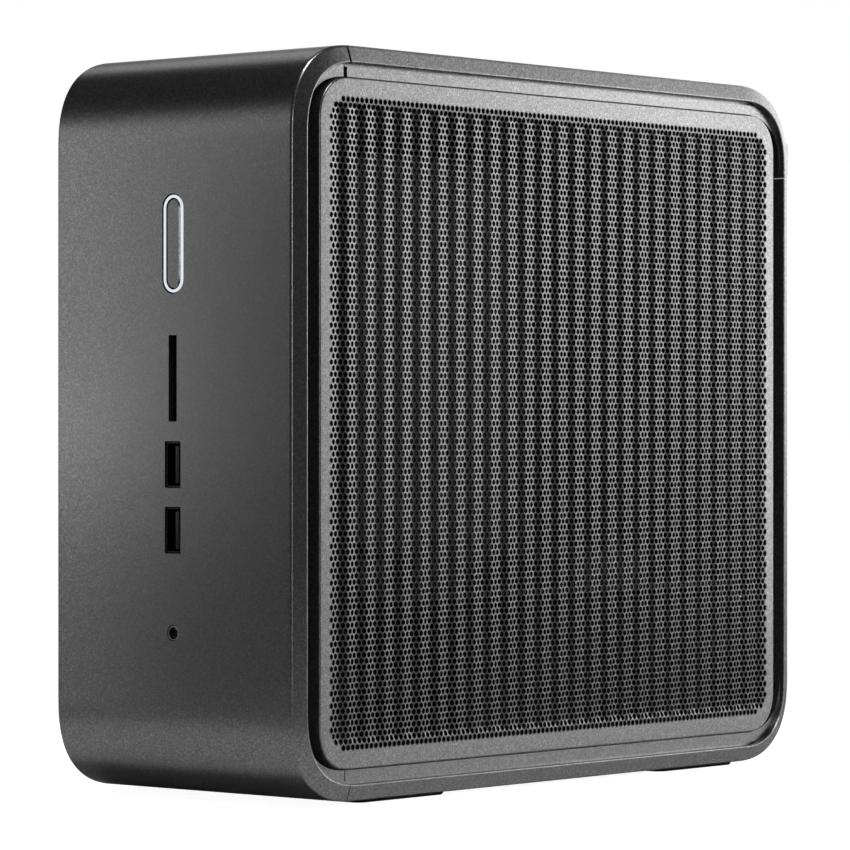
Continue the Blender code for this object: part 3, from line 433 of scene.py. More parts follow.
def solid_box(bm, x, y, z):
    size = [high - low for low, high in (x, y, z)]
    centre = Vector([(low + high) / 2 for low, high in (x, y, z)])
    bmesh.ops.create_cube(bm, size=1.0, matrix=Matrix.Translation(centre) @ Matrix.Diagonal((*size, 1.0)))


def to_metres(bm):
    bmesh.ops.scale(bm, vec=(MM, MM, MM), verts=bm.verts)
    return bm


def bevelled_box(x, y, z, width, segments=2):
    bm = bmesh.new()
    solid_box(bm, x, y, z)
    edges = list(bm.edges)
    bmesh.ops.bevel(bm, geom=edges, offset=width, segments=segments, profile=0.5, affect="EDGES")
    return bm


def toward(axis):
    """The rotation that takes +Z to the axis."""
    return {
        "X": Matrix.Rotation(math.radians(90), 4, "Y"),
        "Y": Matrix.Rotation(math.radians(-90), 4, "X"),
        "Z": Matrix.Identity(4),
    }[axis]


def stand(bm, axis, centre):
    """Takes a shape made about +Z to another axis and place."""
    bmesh.ops.transform(bm, matrix=Matrix.Translation(Vector(centre)) @ toward(axis), verts=bm.verts)
    bmesh.ops.recalc_face_normals(bm, faces=bm.faces)
    return bm


def join_rings(bm, a, b):
    """A band of faces between two closed rings of vertices, and the faces made."""
    return [bm.faces.new([a[i - 1], a[i], b[i], b[i - 1]]) for i in range(len(a))]


def ring_of(bm, radius, along, steps=40):
    angles = [math.tau * i / steps for i in range(steps)]
    return [bm.verts.new((radius * math.cos(a), radius * math.sin(a), along)) for a in angles]


def turned(profile, axis, centre, steps=48):
    """A closed solid turned about an axis, from (radius, along) pairs that start and end on the axis."""
    bm = bmesh.new()
    rings = []
    for radius, along in profile:
        rings.append(ring_of(bm, radius, along, steps) if radius else [bm.verts.new((0.0, 0.0, along))])
    for low, high in zip(rings, rings[1:], strict=False):
        for i in range(steps):
            j = (i + 1) % steps
            corners = [low[i % len(low)], low[j % len(low)], high[j % len(high)], high[i % len(high)]]
            corners = list(dict.fromkeys(corners))
            if len(corners) > 2:
                bm.faces.new(corners)
    return stand(bm, axis, centre)


def tube(inner, outer, low, high, axis, centre, lip=0.15):
    """A short tube with one softened end."""
    bm = bmesh.new()
    profile = [(inner, low), (outer - lip, low), (outer, low + lip), (outer, high), (inner, high)]
    rings = [ring_of(bm, radius, along) for radius, along in profile]
    for a, b in zip(rings, rings[1:] + rings[:1], strict=True):
        join_rings(bm, a, b)
    return stand(bm, axis, centre)


def prism(outline, axis, low, high, chamfer=0.0):
    """A closed solid between two planes across an axis, from an outline of points, with chamfered ends."""
    order = {"X": (2, 0, 1), "Y": (0, 2, 1), "Z": (0, 1, 2)}[axis]
    bm = bmesh.new()
    centre = outline.mean(axis=0)
    levels = [(low, chamfer), (low + chamfer, 0.0), (high - chamfer, 0.0), (high, chamfer)]
    if not chamfer:
        levels = [(low, 0.0), (high, 0.0)]
    rings = []
    for level, inset in levels:
        half = np.abs(outline - centre).max(axis=0)
        ring = centre + (outline - centre) * (1 - inset / half)
        points = np.column_stack([ring, np.full(len(ring), level)])
        rings.append([bm.verts.new([point[i] for i in order]) for point in points])
    for a, b in zip(rings, rings[1:], strict=False):
        join_rings(bm, a, b)
    bm.faces.new(rings[0][::-1])
    bm.faces.new(rings[-1])
    bmesh.ops.recalc_face_normals(bm, faces=bm.faces)
    return bm


def new_solid(name, bm, body, slot, look=None, replaces=()):
    return new_piece(name, mesh_of(to_metres(bm), name), body, slot, look, replaces)


def merged(parts):
    """Several bmeshes as one."""
    whole = bmesh.new()
    for bm in parts:
        mesh = mesh_of(bm, "part")
        whole.from_mesh(mesh)
        bpy.data.meshes.remove(mesh)
    return whole


def cutter(bm, name):
    """A helper for a Boolean, removed after use."""
    piece = bpy.data.objects.new(name, mesh_of(to_metres(bm), name))
    bpy.context.scene.collection.objects.link(piece)
    return piece


def carve(piece, operation, *shapes):
    """Applies Booleans with these bmeshes, in millimetres."""
    helpers = [cutter(bm, "helper") for bm in shapes]
    for helper in helpers:
        modifier = piece.modifiers.new("carve", "BOOLEAN")
        modifier.operation = operation
        modifier.solver = "EXACT"
        modifier.object = helper
    applied(piece)
    for helper in helpers:
        bpy.data.objects.remove(helper, do_unlink=True)
    return piece


# The case


def case_rings(slotted):
    """Rings of the right half of the case's section, from the outer middle round to the inner middle."""
    outer = between((FRONT, REAR), (BOTTOM, HEIGHT), CORNER)
    opening = between(OPENING_Y, OPENING_Z, OPENING_CORNER)
    inner = between((FRONT + WALL, REAR - WALL), (BOTTOM + WALL, HEIGHT - WALL), CORNER - WALL)
    across = opening - outer
    width = np.linalg.norm(across, axis=1, keepdims=True)
    unit = across / width
    rise = np.minimum(RIM_SLOPE * width, HEIGHT)[:, 0]
    crest = np.minimum(SIDE + rise, PANEL_FACE)

    def ring(points, x):
        return np.column_stack([np.broadcast_to(x, len(points)), points])

    rings = []
    for t in np.linspace(0.0, 1.0, RIM_STEPS):
        x = SIDE - FILLET * (1 - t) ** 2 + RIM_SLOPE * FILLET * t * t
        rings.append(ring(outer + unit * FILLET * t * t, x))
    for t in np.linspace(0.0, 1.0, RIM_STEPS):
        back = KNEE * (1 - t) ** 2
        rings.append(ring(opening - unit * back, crest - RIM_SLOPE * back - KNEE * t * t))
    ledge = opening.copy()
    ledge[:, 1] = ledge[:, 1].clip(OPENING_Z[0] + LEDGE_SLOT, OPENING_Z[1] - LEDGE_SLOT)
    through = between(OPENING_Y, LEDGE_Z, LEDGE_CORNER)
    if slotted:
        open_slot = np.linalg.norm(ledge - opening, axis=1) > 0.05
        floor = np.where(open_slot, SLOT_FLOOR_X, LEDGE_X)
        rings += [ring(opening, floor), ring(ledge, floor), ring(ledge, np.full(len(ledge), LEDGE_X))]
    else:
        rings.append(ring(opening, np.full(len(opening), LEDGE_X)))
    rings += [
        ring(through, np.full(len(opening), LEDGE_X)),
        ring(through, np.full(len(opening), WEB_X)),
        ring(inner, np.full(len(opening), WEB_X)),
    ]
    return rings


def case_sweep(slotted):
    """The whole case as one closed surface."""
    right = case_rings(slotted)
    left = [ring * (-1, 1, 1) for ring in right[::-1]]
    rings = right + left
    bm = bmesh.new()
    made = [[bm.verts.new(point) for point in ring] for ring in rings]
    for a, b in zip(made, made[1:] + made[:1], strict=True):
        join_rings(bm, a, b)
    bmesh.ops.remove_doubles(bm, verts=bm.verts, dist=0.002)
    bmesh.ops.dissolve_degenerate(bm, edges=bm.edges, dist=0.002)
    bmesh.ops.recalc_face_normals(bm, faces=bm.faces)
    return bm


def keep_side(bm, at, normal):
    """Cuts the mesh by a plane, keeps the side that the normal points to, and caps it."""
    geometry = [*bm.verts, *bm.edges, *bm.faces]
    bmesh.ops.bisect_plane(bm, geom=geometry, plane_co=at, plane_no=normal, dist=1e-5, clear_inner=True)
    rims = [edge for edge in bm.edges if edge.is_boundary]
    bmesh.ops.holes_fill(bm, edges=rims, sides=0)
    bmesh.ops.recalc_face_normals(bm, faces=bm.faces)


def seam_notch(y, side):
    """The wider part of the seam where it crosses a ledge."""
    bm = bmesh.new()
    solid_box(bm, sorted((side * (WEB_X - 0.5), side * (LEDGE_X + 0.6))), y, SEAM_NOTCH_Z)
    return bm


def make_bezel():
    bm = case_sweep(slotted=False)
    keep_side(bm, (0, BEZEL_END, 0), (0, -1, 0))
    bezel = new_solid("bezel_shell", bm, "case", "case_paint", replaces=["front_bezel"])
    reach = (FRONT - 4.0, FRONT + WALL + 1.5)
    holes = [prism(slot_outline(RING_HOLE, BUTTON_Z), "Y", *reach)]
    for size, z in [(SD_HOLE, SD_Z), *((USB_HOLE, z) for z in USB_Z)]:
        holes.append(prism(rounded_rectangle(size, z, MOUTH_CORNER), "Y", *reach))
    holes.append(prism(slot_outline((AUDIO_HOLE, AUDIO_HOLE), AUDIO_Z), "Y", *reach))
    holes += [seam_notch((BEZEL_END - 0.35, BEZEL_END + 1.0), side) for side in (-1, 1)]
    carve(bezel, "DIFFERENCE", *holes)
    weigh_normals(smooth_shaded(bezel))


def make_base():
    bm = case_sweep(slotted=True)
    keep_side(bm, (0, BEZEL_END + 0.3, 0), (0, 1, 0))
    keep_side(bm, (0, 0, BASE_TOP), (0, 0, -1))
    base = new_solid("base_skin", bm, "case", "case_paint", replaces=["base_shell"])
    window = between((-REAR_WINDOW_X, REAR_WINDOW_X), REAR_WINDOW_Z, 3.0, 6, 2.0)
    shapes = [prism(window, "Y", REAR - 12.0, REAR + 5.0)]
    for foot in ("front_foot", "rear_foot"):
        x, y = ((low - FOOT_GAP, high + FOOT_GAP) for low, high in spans(foot)[:2])
        shapes.append(prism(between(x, y, FOOT_CORNER + 0.2, 6, 2.0), "Z", -5.0, BOTTOM + FOOT_POCKET))
    carve(base, "DIFFERENCE", *shapes)
    weigh_normals(smooth_shaded(base))


def make_lid():
    bm = case_sweep(slotted=True)
    keep_side(bm, (0, LID_START, 0), (0, 1, 0))
    keep_side(bm, (0, 0, LID_LOW), (0, 0, 1))
    lid = new_solid("lid_skin", bm, "lid", "case_paint", replaces=["top_lid"])
    carve(lid, "UNION", prism(between(LIP_Y, LIP_Z, 1.6, 6, 2.0), "X", -LIP_X, LIP_X, 0.5))
    window = between((-GRILLE_X, GRILLE_X), GRILLE_Y, GRILLE_CORNER, 10, 2.0)
    shapes = [prism(window, "Z", HEIGHT - 5.0, HEIGHT + 5.0)]
    for side in (-1, 1):
        at = (side * SCREW_X, REAR, SCREW_Z)
        shapes.append(turned([(0, -0.4), (4.3, -0.4), (4.3, 8.0), (0, 8.0)], "Y", at))
        shapes.append(turned([(0, -9.0), (1.9, -9.0), (1.9, 3.0), (0, 3.0)], "Y", at))
        shapes.append(seam_notch((LID_START - 1.0, LID_START + 0.35), side))
    carve(lid, "DIFFERENCE", *shapes)
    weigh_normals(smooth_shaded(lid))


# Front controls


def slot_outline(size, z, steps=16):
    """A shape with round ends, centred on the controls' line, as (x, z) points."""
    width, height = size
    radius = width / 2
    points = []
    for end, start in ((height / 2 - radius, 0.0), (radius - height / 2, math.pi)):
        for i in range(steps + 1):
            a = start + math.pi * i / steps
            points.append((FRONT_X + radius * math.cos(a), z + end + radius * math.sin(a)))
    return np.array(points if height > width else points[: steps + 1] + points[steps + 2 : -1])


def rounded_rectangle(size, z, radius):
    half = np.array(size) / 2
    centre = np.array([FRONT_X, z])
    return rounded_outline(centre - half, centre + half, radius, 4, 2.0)


def make_button():
    bm = prism(slot_outline(BUTTON, BUTTON_Z), "Y", FRONT + 0.2, FRONT + 5.5, 0.35)
    new_solid("button_cap", bm, "button", "case_paint", replaces=["power_button"])
    bm = prism(slot_outline(RING_LIT[0], BUTTON_Z), "Y", FRONT + 0.15, RING_END, 0.15)
    ring = new_solid("button_ring", bm, "case", "light_guide", replaces=["power_button_ring"])
    hollow(ring, RING_LIT[1])
    # The collars either side of the lit ring are painted near-black, as the shade in the gaps round it.
    for label, outer, inner in (("outer", RING_OUTER, RING_LIT[0]), ("inner", RING_LIT[1], RING_INNER)):
        bm = prism(slot_outline(outer, BUTTON_Z), "Y", FRONT + 0.45, RING_END)
        hollow(new_solid("button_shade_collar_" + label, bm, "case", "black_plastic", PAINTED_SHADE), inner)


def hollow(piece, size):
    """Cuts a slot of this size through a piece round the button."""
    carve(piece, "DIFFERENCE", prism(slot_outline(size, BUTTON_Z), "Y", FRONT - 5.0, FRONT + 15.0))


# Perforated sheets


def hex_cells(rows, columns):
    """(column, row) of each hole, in half pitches and rows, of a field with clipped corners."""
    cells = []
    clips = (2, 1, 0)
    for row in range(rows):
        half_step = row % 2 == 0
        count = columns - 1 if half_step else columns
        from_edge = min(row, rows - 1 - row)
        clip = clips[from_edge] if from_edge < len(clips) else 0
        for i in range(clip, count - clip):
            cells.append((2 * i + (1 if half_step else 0), row))
    return np.array(cells)


def web_arrays(cells, sides=12):
    """A flat sheet of hexagonal cells, each with a round hole: its points, its triangles, the edges round its
    holes, and the edges round its rim."""
    corner_step = np.array([[1, 1], [0, 2], [-1, 1], [-1, -1], [0, -2], [1, -1]])
    centres = np.stack([cells[:, 0], 3 * cells[:, 1]], axis=1)
    corners = (centres[:, None, :] + corner_step[None, :, :]).reshape(-1, 2)
    unique, index = np.unique(corners, axis=0, return_inverse=True)
    index = index.reshape(-1, 6)
    flat = np.stack([unique[:, 0] * PITCH / 2, unique[:, 1] * CORNER_CELL / 2], axis=1)
    turn = np.radians(30) + math.tau * np.arange(sides) / sides
    circle = HOLE * np.stack([np.cos(turn), np.sin(turn)], axis=1)
    at = np.stack([centres[:, 0] * PITCH / 2, centres[:, 1] * CORNER_CELL / 2], axis=1)
    holes = (at[:, None, :] + circle[None, :, :]).reshape(-1, 2)
    points = np.concatenate([flat, holes])
    first = len(flat) + sides * np.arange(len(cells))
    per = sides // 6
    faces, walls = [], []
    for k in range(6):
        c0, c1 = index[:, k], index[:, (k + 1) % 6]
        h = [first + (per * k + i) % sides for i in range(per + 1)]
        half = per // 2
        for i in range(half):
            faces.append(np.stack([c0, h[i + 1], h[i]], axis=1))
        faces.append(np.stack([c0, c1, h[half]], axis=1))
        for i in range(half, per):
            faces.append(np.stack([c1, h[i + 1], h[i]], axis=1))
        walls += [np.stack([h[i], h[i + 1]], axis=1) for i in range(per)]
    edges = np.concatenate([np.stack([index[:, k], index[:, (k + 1) % 6]], axis=1) for k in range(6)])
    known = {(a, b) for a, b in edges.tolist()}
    rim = np.array([(a, b) for a, b in edges.tolist() if (b, a) not in known])
    return points, np.concatenate(faces), np.concatenate(walls), rim


def thick_web(points, faces, walls, rim):
    """The sheet's triangles with those of its back, of the holes' walls and of the outer walls.
    The back's points follow the face's, and faces run anticlockwise seen from the front."""
    count = len(points)
    back = faces[:, ::-1] + count
    quads = np.concatenate([walls, rim[:, ::-1]])
    a, b = quads[:, 0], quads[:, 1]
    sides = np.concatenate([np.stack([a, b, b + count], axis=1), np.stack([a, b + count, a + count], axis=1)])
    return np.concatenate([faces, back, sides])


def rib_height(y, z, start_y, field_z):
    """How far the sheet lies behind the panel's face: upright ribs that end at the field's top and bottom."""
    wave = (1 - np.cos(math.tau * (y - start_y) / RIB_WAVE)) / 2
    inward = np.minimum(z - field_z[0], field_z[1] - z) - RIB_START
    t = np.clip(inward / RIB_FADE, 0, 1)
    return RIB_DEPTH * wave * t * t * (3 - 2 * t)


def new_web(name, points, solid, face_count, body):
    """A perforated sheet whose faces after the first face_count, its back and its holes' walls, are painted
    near-black as shade.
    """
    web = new_piece(name, array_mesh(name, points, solid), body, "panel_paint", SHADED_WEB_PAINT, smooth=40.0)
    web.data.materials.append(PAINTED_SHADE)
    behind = np.arange(len(solid)) >= face_count
    web.data.polygons.foreach_set("material_index", behind.astype(np.int32))


def longest_loop(rim):
    """The vertices round the sheet's outer edge, in order, from its directed rim edges."""
    following = dict(rim.tolist())
    loops = []
    while following:
        start, at = following.popitem()
        loop = [start]
        while at != start:
            loop.append(at)
            at = following.pop(at)
        loops.append(loop)
    return max(loops, key=len)


def make_side_panel(label, side):
    rows, columns = PANEL_HOLES
    start_y = (FRONT + REAR) / 2 - (columns - 1) * PITCH / 2
    field_z = (PANEL_FIELD_Z - PITCH / 2, PANEL_FIELD_Z + (rows - 1) * ROW + PITCH / 2)
    cells = hex_cells(rows, columns)

    def placed(points, depth):
        y = points[:, 0] + start_y
        z = points[:, 1] + PANEL_FIELD_Z
        x = PANEL_FACE - rib_height(y, z, start_y - PITCH / 2, field_z) - depth
        return np.column_stack([side * x, y, z]) * MM

    bounds = np.linspace(0, rows, PANEL_STRIPS + 1).astype(int)
    for i in range(PANEL_STRIPS):
        strip = cells[(cells[:, 1] >= bounds[i]) & (cells[:, 1] < bounds[i + 1])]
        points, faces, walls, rim = web_arrays(strip)
        solid = thick_web(points, faces, walls, rim)[:, ::side]
        both = np.concatenate([placed(points, 0.0), placed(points, SHEET)])
        new_web(f"{label}_web_{i}", both, solid, len(faces), "case")
    points, _, _, rim = web_arrays(cells)
    make_panel_border(label, side, points[longest_loop(rim)] + (start_y, PANEL_FIELD_Z))


def fill_between(outside, inside):
    """Triangles that fill the flat ring between two loops of vertices."""
    verts = outside + inside
    loops = [list(range(len(outside))), list(range(len(outside), len(verts)))]
    flat = [Vector((vert.co.y, vert.co.z)) for vert in verts]
    _, _, triangles, origins, _, covers = delaunay_2d_cdt(flat, [], loops, 1, 1e-5)
    return [
        [verts[origins[i][0]] for i in triangle]
        for triangle, cover in zip(triangles, covers, strict=True)
        if list(cover) == [0]
    ]


def make_panel_border(label, side, inner):
    """The panel's plain margin and folded edge, round the perforated field, with its side walls and back
    painted near-black as shade.
    """

    def rectangle(inset, x):
        y, z = ((low + inset, high - inset) for low, high in (PANEL_Y, PANEL_Z))
        ring = between(y, z, PANEL_CORNER - inset, 16, 2.2)
        return np.column_stack([np.full(len(ring), x), ring])

    rings = []
    for a in np.linspace(0, math.pi / 2, FOLD_STEPS + 1):
        rings.append(rectangle(PANEL_FOLD * (1 - math.sin(a)), PANEL_FACE - PANEL_FOLD * (1 - math.cos(a))))
    rings.append(rectangle(0.0, PANEL_BACK))
    rings.append(rectangle(SHEET, PANEL_BACK))
    rings.append(rectangle(SHEET, PANEL_FACE - SHEET))
    bm = bmesh.new()
    made = [[bm.verts.new(point) for point in ring] for ring in rings]
    # Past the fold, the walls and the back take the painted shade.
    for level, (a, b) in enumerate(zip(made, made[1:], strict=False)):
        for face in join_rings(bm, a, b):
            face.material_index = int(level >= FOLD_STEPS)
    face_loop = [bm.verts.new((PANEL_FACE, *point)) for point in inner]
    back_loop = [bm.verts.new((PANEL_FACE - SHEET, *point)) for point in inner]
    join_rings(bm, face_loop, back_loop)
    for outside, inside in ((made[0], face_loop), (made[-1], back_loop)):
        for triangle in fill_between(outside, inside):
            bm.faces.new(triangle)
    if side < 0:
        bmesh.ops.scale(bm, vec=(-1, 1, 1), verts=bm.verts)
    bmesh.ops.recalc_face_normals(bm, faces=bm.faces)
    node = f"{label}_side_panel"
    border = new_solid(f"{label}_panel_border", bm, "case", "panel_paint", replaces=[node])
    border.data.materials.append(PAINTED_SHADE)
    weigh_normals(border)


# Sockets


def make_front_usb(label, z):
    """A socket's folded shell, its tongue and the contacts on the tongue."""
    node = "front_usb_" + label
    x, (y0, y1), _ = spans(node)
    centre, width = sum(x) / 2, x[1] - x[0]
    shell = prism(rounded_rectangle((width, USB_SHELL), z, 0.5), "Y", y0, y1, 0.1)
    mouth = rounded_rectangle((width - 2 * USB_SKIN, USB_MOUTH), z, 0.3)
    # The shell's dark steel is painted shade.
    socket = new_solid(f"usb_shell_{label}", shell, "case", "bare_steel", SHADED_SOCKET_STEEL, [node])
    carve(socket, "DIFFERENCE", prism(mouth, "Y", y0 - 2, y1 - 0.6))
    tongue = bevelled_box((centre - 0.2, centre + 1.5), (y0 + 0.8, y1 - 0.8), (z - 5.4, z + 5.4), 0.2)
    new_solid(f"usb_tongue_{label}", tongue, "case", "black_plastic")
    across, along = (centre - 0.32, centre - 0.14), (y0 + 1.6, y1 - 1.2)
    contacts = [bevelled_box(across, along, (z + row - 0.5, z + row + 0.5), 0.05, 1) for row in USB_CONTACTS]
    new_solid(f"usb_contacts_{label}", merged(contacts), "case", "bare_steel", CONTACT_METAL)


def make_front_audio():
    at = (FRONT_X, FRONT, AUDIO_Z)
    new_solid("audio_lip", tube(1.75, 2.15, 0.3, 2.3, "Y", at), "case", "bare_steel")
    new_solid("audio_contact", tube(1.3, 1.78, 3.4, 4.2, "Y", at), "case", "bare_steel", CONTACT_METAL)


def tongue_in(x, half_width, node, depth, recess, margin, bevel):
    """A tongue in a rear socket. depth and recess are how far its ends lie behind the socket's face, and
    margin is its distance from the socket's top and bottom."""
    _, (_, rear), (z0, z1) = spans(node)
    return bevelled_box(
        (x - half_width, x + half_width), (rear - depth, rear - recess), (z0 + margin, z1 - margin), bevel
    )


def make_rear_contacts():
    """Tongues and contacts inside the rear sockets."""
    tongues, contacts = [], []
    for label in ("upper", "lower"):
        stack = "rear_usb_stack_" + label
        for mouth in (1.0, 9.6):
            tongues.append(tongue_in(span(stack, 0)[0] + mouth + 1.55, 0.9, stack, 11.8, 0.9, 1.4, 0.15))
        usb_c = "rear_usb_c_" + label
        tongues.append(tongue_in(middle(usb_c, 0), 0.35, usb_c, 8.0, 1.0, 1.4, 0.1))
        lan = "rear_lan_" + label
        x, rear = span(lan, 0)[0] + 1.5, span(lan, 1)[1]
        for i in range(8):
            z = middle(lan, 2) + i - 3.5
            contacts.append(bevelled_box((x, x + 0.4), (rear - 9.0, rear - 2.5), (z - 0.2, z + 0.2), 0.05, 1))
    tongues.append(tongue_in(middle("rear_video", 0), 0.6, "rear_video", 10.0, 1.2, 2.0, 0.15))
    new_solid("rear_tongues", merged(tongues), "case", "black_plastic")
    new_solid("rear_lan_contacts", merged(contacts), "case", "bare_steel", CONTACT_METAL)


def make_inlet_pins():
    x, z = middle("psu_inlet", 0), middle("psu_inlet", 2)
    rear = span("psu_inlet", 1)[1]
    pins = []
    for dx, dz in ((-7.0, -1.8), (0.0, 1.8), (7.0, -1.8)):
        across, up = (x + dx - 1.0, x + dx + 1.0), (z + dz - 2.0, z + dz + 2.0)
        pins.append(bevelled_box(across, (rear - 15.8, rear - 4.0), up, 0.4))
    new_solid("inlet_pins", merged(pins), "case", "bare_steel")


# Screws, feet, fans and the top grille


def make_thumbscrew(label, side):
    """A knurled head with a driver slot, on a plain shank."""
    node = "thumbscrew_" + label
    x = side * SCREW_X
    y0, y1 = span(node, 1)
    angles = np.linspace(0, math.tau, 3 * KNURLS, endpoint=False)
    radius = SCREW_HEAD + KNURL * np.cos(angles * KNURLS)
    outline = np.column_stack([radius * np.cos(angles) + x, radius * np.sin(angles) + SCREW_Z])
    head = prism(outline, "Y", REAR - 0.1, y1, 0.35)
    screw = new_solid("knurled_screw_" + label, head, label + "_thumbscrew", "bare_steel", replaces=[node])
    profile = [(0, y0), (SHANK - 0.4, y0), (SHANK, y0 + 0.5), (SHANK, y1 - 0.8), (0, y1 - 0.8)]
    carve(screw, "UNION", turned(profile, "Y", (x, 0.0, SCREW_Z), 24))
    slot = bmesh.new()
    half = [size / 2 for size in DRIVER_SLOT]
    solid_box(slot, (x - half[0], x + half[0]), (y1 - 0.9, y1 + 1.0), (SCREW_Z - half[1], SCREW_Z + half[1]))
    smooth_shaded(carve(screw, "DIFFERENCE", slot), 40.0)


def make_feet():
    for label in ("front", "rear"):
        node = label + "_foot"
        x, y, (z0, z1) = spans(node)
        pad = prism(between(x, y, FOOT_CORNER, 8, 2.0), "Z", z0, z1, 0.35)
        new_solid(label + "_foot_pad", pad, "case", "foot_rubber", replaces=[node])


def fan_blade(bm, angle, inner, outer, chord, pitch, lean, thick):
    """A swept, cambered blade as a closed grid, its tip leading its root."""
    across, along = 8, 9
    sheets = []
    for face in (-1, 1):
        rows = []
        for i in range(along + 1):
            t = i / along
            radius = inner + (outer - inner) * t
            swept = angle + math.radians(lean) * t * t
            tilt = math.radians(pitch * (1.15 - 0.35 * t))
            row = []
            for j in range(across + 1):
                u = j / across - 0.5
                camber = 0.09 * chord * (0.25 - u * u) * 4
                half = face * thick / 2 * (1 - (2 * u) ** 4 * 0.7)
                width = u * chord * (0.8 + 0.25 * t)
                flat = width * math.cos(tilt) - (camber + half) * math.sin(tilt)
                height = width * math.sin(tilt) + (camber + half) * math.cos(tilt)
                turn = swept + flat / radius
                row.append(bm.verts.new((radius * math.cos(turn), radius * math.sin(turn), height)))
            rows.append(row)
        sheets.append(rows)
    low, high = sheets
    for i in range(along):
        for j in range(across):
            bm.faces.new([low[i][j], low[i + 1][j], low[i + 1][j + 1], low[i][j + 1]])
            bm.faces.new([high[i][j], high[i][j + 1], high[i + 1][j + 1], high[i + 1][j]])
    for i in range(along):
        bm.faces.new([low[i][0], high[i][0], high[i + 1][0], low[i + 1][0]])
        bm.faces.new([low[i][-1], low[i + 1][-1], high[i + 1][-1], high[i][-1]])
    for j in range(across):
        bm.faces.new([low[0][j], low[0][j + 1], high[0][j + 1], high[0][j]])
        bm.faces.new([low[-1][j], high[-1][j], high[-1][j + 1], low[-1][j + 1]])


def make_rotor(name, node, body, axis, centre, hub, blade):
    """A fan's hub with rounded rims, its shaft and its blades.
    hub is (radius, half length, shaft end), and blade is (tip radius, chord, pitch, lean)."""
    radius, half, shaft = hub
    profile = [(0, shaft), (1.5, shaft), (1.5, -half), (radius - 0.6, -half), (radius, 0.6 - half)]
    profile += [(radius, half - 1.4), (radius - 0.4, half - 0.4), (radius - 1.4, half), (0, half)]
    parts = [turned(profile, axis, centre, 48)]
    for i in range(BLADES):
        bm = bmesh.new()
        fan_blade(bm, math.tau * i / BLADES, radius - 0.4, *blade, BLADE_THICK)
        parts.append(stand(bm, axis, centre))
    new_solid(name, merged(parts), body, "fan_plastic", replaces=[node])


def make_rotors():
    hub, blade = (17.0, 5.0, -7.6), (36.4, 13.0, 32.0, 22.0)
    for label in ("front", "rear"):
        node = f"lid_fan_{label}_rotor"
        centre = (0, middle(node, 1), span(node, 2)[1] - 5.0)
        make_rotor(f"lid_fan_{label}_blades", node, label + "_lid_fan", "Z", centre, hub, blade)
    hub, blade = (8.0, 4.0, -8.2), (16.5, 6.6, 35.0, 20.0)
    x, rear, z = fan_outlet()
    make_rotor("psu_fan_blades", "psu_fan_rotor", "supply_fan", "Y", (x, rear - 6.5, z), hub, blade)


def fan_outlet():
    """Where the power supply's fan axis meets its rear face."""
    return middle("psu_fan_rotor", 0), span("psu_case", 1)[1], middle("psu_fan_rotor", 2)


def make_shade_seals():
    """Near-black sheets of painted shade that close the gaps at the chassis's lower rear corners and above
    the power supply.
    """
    corner = between((REAR - 34.0, REAR - 3.0), (6.5, 37.0), 19.0, 8, 2.5)
    seals = [prism(corner, "X", *sorted(side * x for x in SEAL_X)) for side in (-1, 1)]
    seals.append(bevelled_box((-42.6, -42.2), (-8.0, 36.0), (65.0, 80.0), 0.05, 1))
    new_solid("shade_seals", merged(seals), "case", "black_plastic", PAINTED_SHADE)


def make_fan_guard():
    """The wire guard over the power supply's fan."""
    x, rear, z = fan_outlet()
    parts = [tube(radius - 0.45, radius + 0.45, 0.4, 1.2, "Y", (x, rear, z), 0.25) for radius in GUARD_RADII]
    for turn in (45, 135):
        bar = bevelled_box((-GUARD_BAR, GUARD_BAR), (-0.35, 0.35), (-0.4, 0.4), 0.2)
        place = Matrix.Translation((x, rear + 0.42, z)) @ Matrix.Rotation(math.radians(turn), 4, "Y")
        bmesh.ops.transform(bar, matrix=place, verts=bar.verts)
        parts.append(bar)
    new_solid("psu_fan_guard", merged(parts), "case", "bare_steel")


def make_top_grille():
    """The lid's perforated sheet, laid out like a side panel's and then turned to lie flat."""
    x, y, (_, top) = spans("top_grille")
    rows, columns = TOP_HOLES
    points, faces, walls, rim = web_arrays(hex_cells(rows, columns))
    half = TOP_SCALE * np.array([(columns - 1) * PITCH / 2, (rows - 1) * ROW / 2])
    laid = points * TOP_SCALE + (sum(y) / 2, 0.0) - half
    solid = thick_web(points, faces, walls, rim)[:, ::-1]

    def at(height):
        return np.column_stack([laid[:, 1], laid[:, 0], np.full(len(laid), height)]) * MM

    new_web("top_grille_web", np.concatenate([at(top), at(top - SHEET)]), solid, len(faces), "lid")
    bm = bmesh.new()
    outlines = [between(y, x, TOP_CORNER, 10, 2.0), laid[longest_loop(rim)]]
    levels = []
    for height in (top, top - SHEET):
        outside, inside = ([bm.verts.new((height, *point)) for point in outline] for outline in outlines)
        levels.append((outside, inside))
        for triangle in fill_between(outside, inside):
            bm.faces.new(triangle)
    for above, below in zip(*levels, strict=True):
        join_rings(bm, above, below)
    swapped = Matrix(((0, 0, 1, 0), (0, 1, 0, 0), (1, 0, 0, 0), (0, 0, 0, 1)))
    bmesh.ops.transform(bm, matrix=swapped, verts=bm.verts)
    bmesh.ops.recalc_face_normals(bm, faces=bm.faces)
    new_solid("top_grille_border", bm, "lid", "panel_paint", replaces=["top_grille"])


# The rest keeps its CAD shape, with the slot's look


def dress_cad_nodes():
    slots = {part["node"]: part["material_slot"] for part in frame["record"]["subparts"]}
    for name, node in NODES.items():
        node.data.materials.clear()
        node.data.materials.append(LOOKS[slots[name]])
        smooth_shaded(node)


# Studio


def area_light(name, at, target, size, power):
    """A rectangular lamp in metres and watts, aimed at a target."""
    light = bpy.data.lights.new(name, "AREA")
    light.shape = "RECTANGLE"
    light.size, light.size_y = size
    light.energy = power
    lamp = bpy.data.objects.new(name, light)
    lamp.location = at
    lamp.rotation_euler = (Vector(target) - Vector(at)).to_track_quat("-Z", "Y").to_euler()
    bpy.context.scene.collection.objects.link(lamp)
    return lamp


